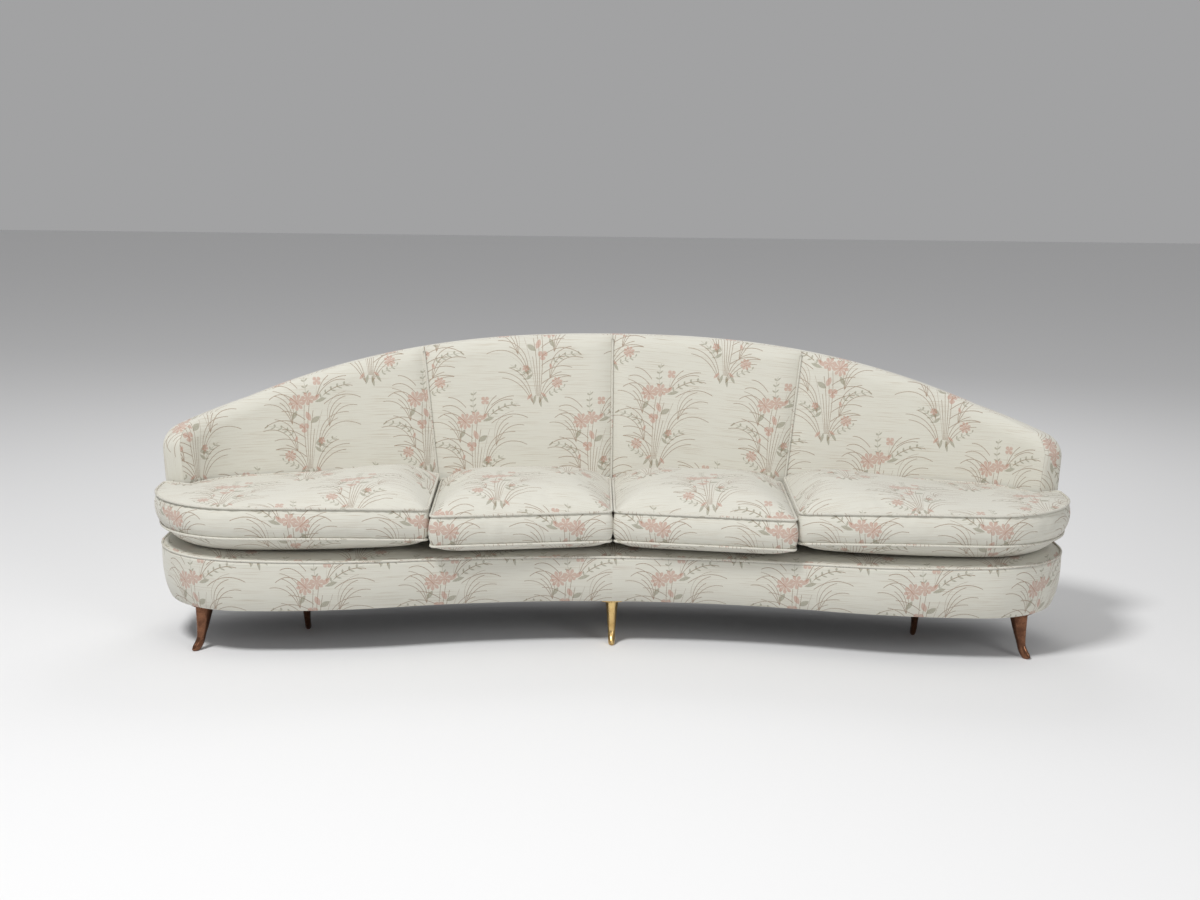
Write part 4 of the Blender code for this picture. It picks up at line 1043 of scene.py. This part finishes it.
strip = border_points()
strip_along = run_along(strip[:, strip.shape[1] // 2])
strip_across = run_along(strip[len(strip) // 2])
strip_chart = laid_flat(strip_along[:, None], strip_across)
strip_chart = np.concatenate([strip_chart, strip_chart[:, :1]], 1)
border = piece("border_strip", grid_mesh("border_strip", strip, strip_chart), cloth, "frame",
               "border_band")

# Outside back: one length of cloth over thin wadding, drawn tight from the border down to the
# base piping, and closed along both by hand.


def outside_points():
    """Ruled upright lines from the base piping to the border, a cover's thickness deep."""
    turned = corner_shares(edge_inset)
    shares = both_sides(np.concatenate([stations[stations < turned[0]], turned]))
    x = along_line(np.abs(shares), outside_line[:, :1])[:, 0]
    low = base_top + climb(x) + welt_radius + touch
    high = fallen(shares, edge_at(shares, edge_inset), 1.0)
    up = np.linspace(0, 1, 24)
    heights = low[:, None] + (high - low)[:, None] * up
    shares = np.broadcast_to(shares[:, None], heights.shape)
    outer = back_point(shares, heights, np.ones(heights.shape))
    inner = back_point(shares, heights, 1 - depth_share_in(shares, heights, cover_thickness))
    return outer, inner[:, [0, -1]]


outer, inner = outside_points()
outside_along = run_along(outer[:, 0])
outside_chart = laid_flat(-outside_along[:, None], outer[..., 2])
outside_chart = np.concatenate([outside_chart, outside_chart[:, [-1, 0, 0]]], 1)
outside_mesh = grid_mesh("outside_back", closed_sheet(outer, inner), outside_chart)
outside_back = piece("outside_back", outside_mesh, cloth, "frame", "outside_cover")

# Loose cushions: boxed covers filled with foam and feather wadding, with cord piping in both
# seams. Each is blown up a little by a short cloth simulation, with its seams held.

cushion_height = 0.094
# The swell above and below: its height, and how far in from the seams it is full.
cushion_crown, cushion_belly = (0.060, 0.16), (0.035, 0.10)
seam_lift_height, seam_lift_reach = 0.018, 0.45
cushion_overhang, middle_overhang, middle_corner_overhang = 0.014, 0.010, 0.038
half_gap = 0.0085 / 2
split_front, split_back = 0.3955 * base_half_width, 0.4040 * base_half_width
corner_size = 0.022
seam_inset_in_plan, cushion_welt_inset = 0.0050, 0.0005
seat_clear = back_crown + welt_radius + 0.002
facing_clear = seat_clear - back_crown + border_crown
wall_bulge, front_bulge = 0.0035, 0.0085
bulge_reach = 0.12
end_tuck, end_tuck_start, end_tuck_reach = 0.012, 1.20, 0.22
end_flattening, flattening_start, flattening_reach = 0.62, 0.10, 0.52
face_columns, wall_levels = 46, 9
# How far the settling may move a point of the top and of the wall.
top_way, wall_way = 0.006, 0.002
cover_stiffness, settling_frames = 12.0, 20
# Where each cushion was cut from the cloth: its shift along and up.
cushion_cuts = {"cushion_end_left": (0.008, 0.285), "cushion_middle_left": (-0.04, 0.285),
                "cushion_middle_right": (0.086, 0.285), "cushion_end_right": (-0.155, 0.285)}
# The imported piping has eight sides, two of them level, so it is a little lower than a round one.
packed_welt_half = welt_radius * math.cos(math.pi / 8)


def seat_back_line(low_share, high_share, height):
    """Plan points just in front of the inside back, from one share to another."""
    inner = stations[(stations > low_share + rub) & (stations < high_share - rub)]
    shares = np.concatenate([[low_share], inner, [high_share]])
    near = back_faces(shares, np.full(len(shares), height))[0]
    return near - along_line(shares, inside_line[:, 2:]) * seat_clear


def rounded(trimmed, corner, following):
    """A corner's points: a parabola from the trimmed end, drawn to the corner, to its landing."""
    landing = corner + (following - corner) / np.linalg.norm(following - corner) * corner_size
    t = np.linspace(0, 1, 7)[1:, None]
    return (1 - t) ** 2 * trimmed + 2 * t * (1 - t) * corner + t * t * landing


def cushion_lines(front, stretches, steps):
    """Front and back halves of a cushion's outline, with as many points, left to right."""
    first, last = stretches[0][0], stretches[-1][-1]
    back = []
    for line, count in zip(stretches, steps):
        start_trim = corner_size if line is stretches[0] else 0
        end_trim = corner_size if line is stretches[-1] else 0
        back.append(evenly(line, count, start_trim, end_trim)[0 if start_trim else 1:])
    back = np.concatenate(back)
    ahead = evenly(front, sum(steps), corner_size, corner_size)
    halves = []
    for line, start, end, beyond in ((ahead, front[0], front[-1], (first, last)),
                                     (back, first, last, (front[0], front[-1]))):
        halves.append(np.concatenate([rounded(line[0], start, beyond[0])[::-1], line,
                                      rounded(line[-1], end, beyond[1])]))
    return halves


def depth_on(plan, x):
    """How far back a line in plan lies at x."""
    order = np.argsort(plan[:, 0])
    return np.interp(np.abs(x), plan[order, 0], plan[order, 1])


split_share = float(np.interp(split_back, inside_line[:, 0], stations))


def middle_lines(height):
    """A middle cushion: its straight front spans the hollow and stands out at its corner."""
    corner_x = split_front - half_gap
    corner_y = depth_on(front_half, corner_x) - middle_corner_overhang
    back = seat_back_line(rub / inside_length, split_share, height)
    back[0, 0] = half_gap
    back[-1, 0] = split_back - half_gap
    front = np.array([(half_gap, -middle_overhang), (corner_x, corner_y)])
    return cushion_lines(front, [back], [40])


def end_lines(height):
    """An end cushion: it follows the base round the corner and has an ear before the arm."""
    corner_x = split_front + half_gap
    back = seat_back_line(split_share, 1.0, height)
    back[0, 0] = split_back + half_gap
    near, far = (faces[0] for faces in back_faces(np.array([1.0]), np.array([height])))
    across = (far - near) / np.linalg.norm(far - near)
    ear_inside = near + np.array([across[1], -across[0]]) * facing_clear - across * seat_clear
    back = np.concatenate([back[:-1], [ear_inside]])
    front = offset(front_half[:-fineness], cushion_overhang)
    ear_out = ear_inside + across * (front[-1, 0] - ear_inside[0]) / across[0]
    start = (corner_x, depth_on(front, corner_x))
    front = np.concatenate([[start], front[front[:, 0] > corner_x + rub]])
    return cushion_lines(front, [back, np.array([ear_inside, ear_out])], (60, 10))


def edge_distance(spots, outline):
    """How far plan points lie from the nearest stretch of an outline."""
    run = np.diff(outline, axis=0)
    reach = spots[..., None, :] - outline[:-1]
    along = np.clip((reach * run).sum(-1) / np.maximum((run ** 2).sum(-1), 1e-12), 0, 1)
    return np.linalg.norm(reach - run * along[..., None], axis=-1).min(-1)


def pushed(ahead, behind, distance):
    """Both halves of an outline moved outward by a distance, square to its edges."""
    outline = np.concatenate([ahead, behind[::-1]])
    run = np.roll(outline, -1, axis=0) - outline
    run /= np.linalg.norm(run, axis=1, keepdims=True)
    after = np.stack([run[:, 1], -run[:, 0]], -1)
    before = np.roll(after, 1, axis=0)
    mitre = (before + after) / (1 + (before * after).sum(-1, keepdims=True))
    moved = outline + mitre * distance
    return moved[:len(ahead)], moved[len(ahead):][::-1]


def face_grid(ahead, behind):
    """Plan points of a face from front to back in each row, closer together beside the seams."""
    runs = (1 - np.cos(np.linspace(0, np.pi, face_columns))) / 2
    return ahead[:, None] + (behind - ahead)[:, None] * runs[None, :, None]


def ring_of(grid):
    """The rim of a grid, once round: front, right side, back and left side."""
    return np.concatenate([grid[:, 0], grid[-1, 1:], grid[-2::-1, -1], grid[0, -2:0:-1]])


def fullness(grid, reach):
    """How full a cushion is: its distances to its four seams are joined by a sum of high inverse
    powers, so that no crease runs in from the corners, and the swell is one less a power of the
    way still to go."""
    seams = (grid[:, 0], grid[:, -1], grid[0], grid[-1])
    distances = np.stack([np.maximum(edge_distance(grid, seam), 1e-6) for seam in seams])
    inside = np.minimum((distances ** -4.0).sum(0) ** -0.25 / reach, 1.0)
    return 1 - (1 - inside) ** 2.4


def seam_lift(x):
    """How far an end cushion's seams are drawn up towards the arm: a sine of the way there."""
    way = np.clip((np.abs(x) - split_front) / seam_lift_reach, 0, 1)
    return seam_lift_height * np.sin(way * quarter)


def end_share(x):
    """An S-curve from 0 near the end cushion's inner side to 1 before the arm."""
    way = np.clip((np.abs(x) - split_front - flattening_start) / flattening_reach, 0, 1)
    return way * way * (3 - 2 * way)


def tucked(line):
    """The lower seam is drawn in under the round end, by the square of the last way to it."""
    way = np.clip((line[:, 0] - end_tuck_start) / end_tuck_reach, 0, 1)
    return line - np.stack([end_tuck * way ** 2, np.zeros(len(line))], -1)


def plumped(mesh, free):
    """Lets the cover settle as cloth under the pressure of its filling, with the seams held. Each
    point then keeps at most its own free way of that movement."""
    shell = bpy.data.objects.new("settling", mesh)
    bpy.context.collection.objects.link(shell)
    held = shell.vertex_groups.new(name="seams")
    held.add(np.flatnonzero(free == 0).tolist(), 1.0, "REPLACE")
    settling = shell.modifiers.new("settling", "CLOTH")
    settings = settling.settings
    settings.quality, settings.mass, settings.air_damping = 6, 0.4, 3.0
    settings.tension_stiffness = settings.compression_stiffness = cover_stiffness
    settings.shear_stiffness, settings.bending_stiffness = cover_stiffness / 2, 0.3
    settings.vertex_group_mass = "seams"
    settings.shrink_min = settings.shrink_max = -0.012
    settings.use_pressure = True
    settings.uniform_pressure_force = 4.0
    settings.effector_weights.gravity = 0.0
    settling.point_cache.frame_start, settling.point_cache.frame_end = 1, settling_frames
    for moment in range(1, settling_frames + 1):
        bpy.context.scene.frame_set(moment)
    settled = shell.evaluated_get(bpy.context.evaluated_depsgraph_get()).data
    before, after = np.empty((2, len(mesh.vertices) * 3))
    mesh.vertices.foreach_get("co", before)
    settled.vertices.foreach_get("co", after)
    before, after = before.reshape(-1, 3), after.reshape(-1, 3)
    way = np.linalg.norm(after - before, axis=1)
    kept = np.minimum(way, free) / np.maximum(way, 1e-9)
    bpy.data.objects.remove(shell)
    bpy.context.scene.frame_set(1)
    mesh.vertices.foreach_set("co", (before + (after - before) * kept[:, None]).ravel())
    mesh.update()


def cells(grid_index, turned):
    """Quads between the neighbours of a grid of point numbers, facing either way."""
    quads = np.stack([grid_index[:-1, :-1], grid_index[1:, :-1], grid_index[1:, 1:],
                      grid_index[:-1, 1:]], -1).reshape(-1, 4)
    return quads[:, ::-1] if turned else quads


def cushion_wall(ring_low, ring_high, rows, side):
    """Rings between the rims. They stand out by one less a power of the way from mid height, and
    further at the front, where that grows by a parabola from both corners."""
    ahead = np.roll(ring_low, -1, axis=0) - np.roll(ring_low, 1, axis=0)
    outward = np.stack([ahead[:, 1], -ahead[:, 0], np.zeros(len(ahead))], -1) * side
    outward /= np.linalg.norm(outward, axis=1, keepdims=True)
    up = np.linspace(0, 1, wall_levels)[1:-1]
    along_front = np.linspace(0, 1, rows)
    fuller = np.zeros(len(ring_low))
    from_corner = np.minimum(along_front, 1 - along_front) / bulge_reach
    fuller[:rows] = 1 - np.maximum(1 - from_corner, 0) ** 2
    fuller = wall_bulge + (front_bulge - wall_bulge) * fuller + seam_inset_in_plan
    bulge = (1 - np.abs(2 * up - 1) ** 2.5)[:, None] * fuller
    return (ring_low[None] + (ring_high - ring_low)[None] * up[:, None, None]
            + outward[None] * bulge[..., None])


def cushion_quads(rows, side):
    """Quads of the top, the bottom and the wall, and the numbers of the top's rim."""
    count = rows * face_columns
    index = np.arange(count).reshape(rows, face_columns)
    rim = ring_of(index[..., None])[:, 0]
    wall_index = 2 * count + np.arange((wall_levels - 2) * len(rim)).reshape(-1, len(rim))
    levels_index = np.concatenate([[rim + count], wall_index, [rim]])
    closed_levels = np.concatenate([levels_index, levels_index[:, :1]], 1)
    quads = np.concatenate([cells(index, side < 0), cells(index + count, side > 0),
                            cells(closed_levels, side > 0)])
    return quads, rim


def cushion_chart(top, bottom, ring_low, quads, side):
    """The cover laid flat: the top above the front wall and the bottom below it, both as they lie
    in plan, and the wall by the way round its lower seam."""
    middle = len(top) // 2
    front = top[middle, 0, :2]
    laid_top = top[..., :2] - front + (front[0], cushion_height)
    laid_bottom = (bottom[..., :2] - front) * (1, -1) + (front[0], 0.0)
    laid_faces = np.concatenate([laid_top.reshape(-1, 2), laid_bottom.reshape(-1, 2)])
    faces_chart = laid_faces[quads[:2 * (len(top) - 1) * (face_columns - 1)]].reshape(-1, 2)
    around = run_along(np.concatenate([ring_low, ring_low[:1]]))
    wall_chart = laid_flat((around - around[middle]) * side + front[0],
                           cushion_height * np.linspace(0, 1, wall_levels)[:, None])
    spot_numbers = np.arange(wall_levels * len(around)).reshape(wall_levels, -1)
    wall_chart = wall_chart.reshape(-1, 2)[cells(spot_numbers, side > 0)].reshape(-1, 2)
    return np.concatenate([faces_chart, wall_chart])


def cushion(name, lines_at, side):
    """A boxed cushion: two faces over the same grid and a wall of rings between their rims. Both
    faces swell by their fullness, and at the rims they follow the lift of the seams."""
    seam_level = base_top + deck_crown + cushion_belly[0]
    low = [tucked(line) for line in lines_at(seam_level)]
    high = lines_at(seam_level + cushion_height)
    low_grid, high_grid = (face_grid(*pushed(*lines, -seam_inset_in_plan))
                           for lines in (low, high))
    low_full = fullness(low_grid, cushion_belly[1])
    high_full = fullness(high_grid, cushion_crown[1])
    low_rise = seam_lift(low_grid[..., 0]) * (1 - low_full) - cushion_belly[0] * low_full
    crown = cushion_crown[0] * (1 - end_flattening * end_share(high_grid[..., 0]))
    high_rise = seam_lift(high_grid[..., 0]) * (1 - high_full) + crown * high_full
    seam_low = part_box(f"{name}_lower_welt")[0][2] + packed_welt_half
    seam_high = seam_low + cushion_height
    flip = np.array([side, 1])
    top = placed(high_grid * flip, seam_high + high_rise)
    bottom = placed(low_grid * flip, seam_low + low_rise)
    ring_low = ring_of(bottom)
    wall = cushion_wall(ring_low, ring_of(top), len(top), side)
    quads, rim = cushion_quads(len(top), side)
    spots = np.concatenate([top.reshape(-1, 3), bottom.reshape(-1, 3), wall.reshape(-1, 3)])
    mesh = bpy.data.meshes.new(name + "_cover")
    mesh.from_pydata(spots.tolist(), [], quads.tolist())
    layer = mesh.uv_layers.new(name="cloth")
    laid = cushion_chart(top, bottom, ring_low, quads, side) + cushion_cuts[name]
    layer.uv.foreach_set("vector", laid.ravel())
    mesh.shade_smooth()
    free = np.concatenate([top_way * high_full.ravel(), np.zeros(low_full.size),
                           np.full(wall.shape[:2], wall_way).ravel()])
    free[rim], free[rim + high_full.size] = 0, 0
    plumped(mesh, free)
    made = piece(name + "_cover", mesh, cloth, name, name)
    for word, line, level in (("_lower", low, seam_low), ("_upper", high, seam_high)):
        ring = ring_of(face_grid(*pushed(*line, -cushion_welt_inset)))
        path = placed(ring * flip, level + seam_lift(ring[:, 0]))
        piped(name + word + "_piping", path, (0, 0, 1), True, name, name + word + "_welt")


for side, word in ((-1, "left"), (1, "right")):
    cushion("cushion_middle_" + word, middle_lines, side)
    cushion("cushion_end_" + word, end_lines, side)

# Floor and light: a plain pale floor, a broad soft light from the front left, weaker ones from the
# right and from behind, and a camera at the photo's point of view.


def lamp(name, place, aim, size, power):
    """A round soft light at a place, turned so that it looks at its aim."""
    data = bpy.data.lights.new(name, "AREA")
    data.shape, data.size, data.energy = "DISK", size, power
    made = bpy.data.objects.new(name, data)
    bpy.context.collection.objects.link(made)
    made.location = place
    x, y, z = np.array(aim) - np.array(place)
    made.rotation_euler = (math.atan2(math.hypot(x, y), -z), 0, math.atan2(y, x) - quarter)


floor_size = 40.0
corners = np.array([[-1, -1, 0], [1, -1, 0], [1, 1, 0], [-1, 1, 0]]) * floor_size / 2
floor_mesh = bpy.data.meshes.new("floor")
floor_mesh.from_pydata(corners.tolist(), [], [(0, 1, 2, 3)])
floor = bpy.data.objects.new("floor", floor_mesh)
bpy.context.collection.objects.link(floor)
floor_mesh.materials.append(new_material("pale_floor", (0.80, 0.80, 0.80), 0.7))

# Each light's place, aim, width and power.
lamp("key_light", (-2.6, -3.4, 6.8), (0, 0, 0.4), 1.8, 420)
lamp("fill_light", (3.6, -5.2, 3.2), (0, 0, 0.4), 3.0, 75)
lamp("rear_light", (0.5, 3.8, 3.4), (0, 0, 0.5), 2.6, 45)

world = bpy.data.worlds.new("studio")
bpy.context.scene.world = world
world.use_nodes = True
world.node_tree.nodes["Background"].inputs[0].default_value = (0.86, 0.86, 0.87, 1)
world.node_tree.nodes["Background"].inputs[1].default_value = 0.42

eye = (-0.08, -5.38 + set_back, 1.62)
yaw, pitch, roll = math.radians(0.39), math.radians(10.45), math.radians(0.68)
focal_pixels, photo_width = 1779.0, 1200.0
camera_data = bpy.data.cameras.new("photo_camera")
camera_data.sensor_width = 36.0
camera_data.lens = focal_pixels / photo_width * camera_data.sensor_width
camera = bpy.data.objects.new("photo_camera", camera_data)
bpy.context.collection.objects.link(camera)
ahead = np.array([math.sin(yaw) * math.cos(pitch), math.cos(yaw) * math.cos(pitch),
                  -math.sin(pitch)])
right = np.array([math.cos(yaw), -math.sin(yaw), 0.0])
over = np.cross(right, ahead)
turned_right = math.cos(roll) * right + math.sin(roll) * over
turned_over = -math.sin(roll) * right + math.cos(roll) * over
axes = np.stack([turned_right, turned_over, -ahead], -1).tolist()
camera.matrix_world = Matrix([[*row, place] for row, place in zip(axes, eye)] + [[0, 0, 0, 1]])
camera_data.clip_end = 100.0
bpy.context.scene.camera = camera
bpy.context.scene.view_settings.view_transform = "Standard"
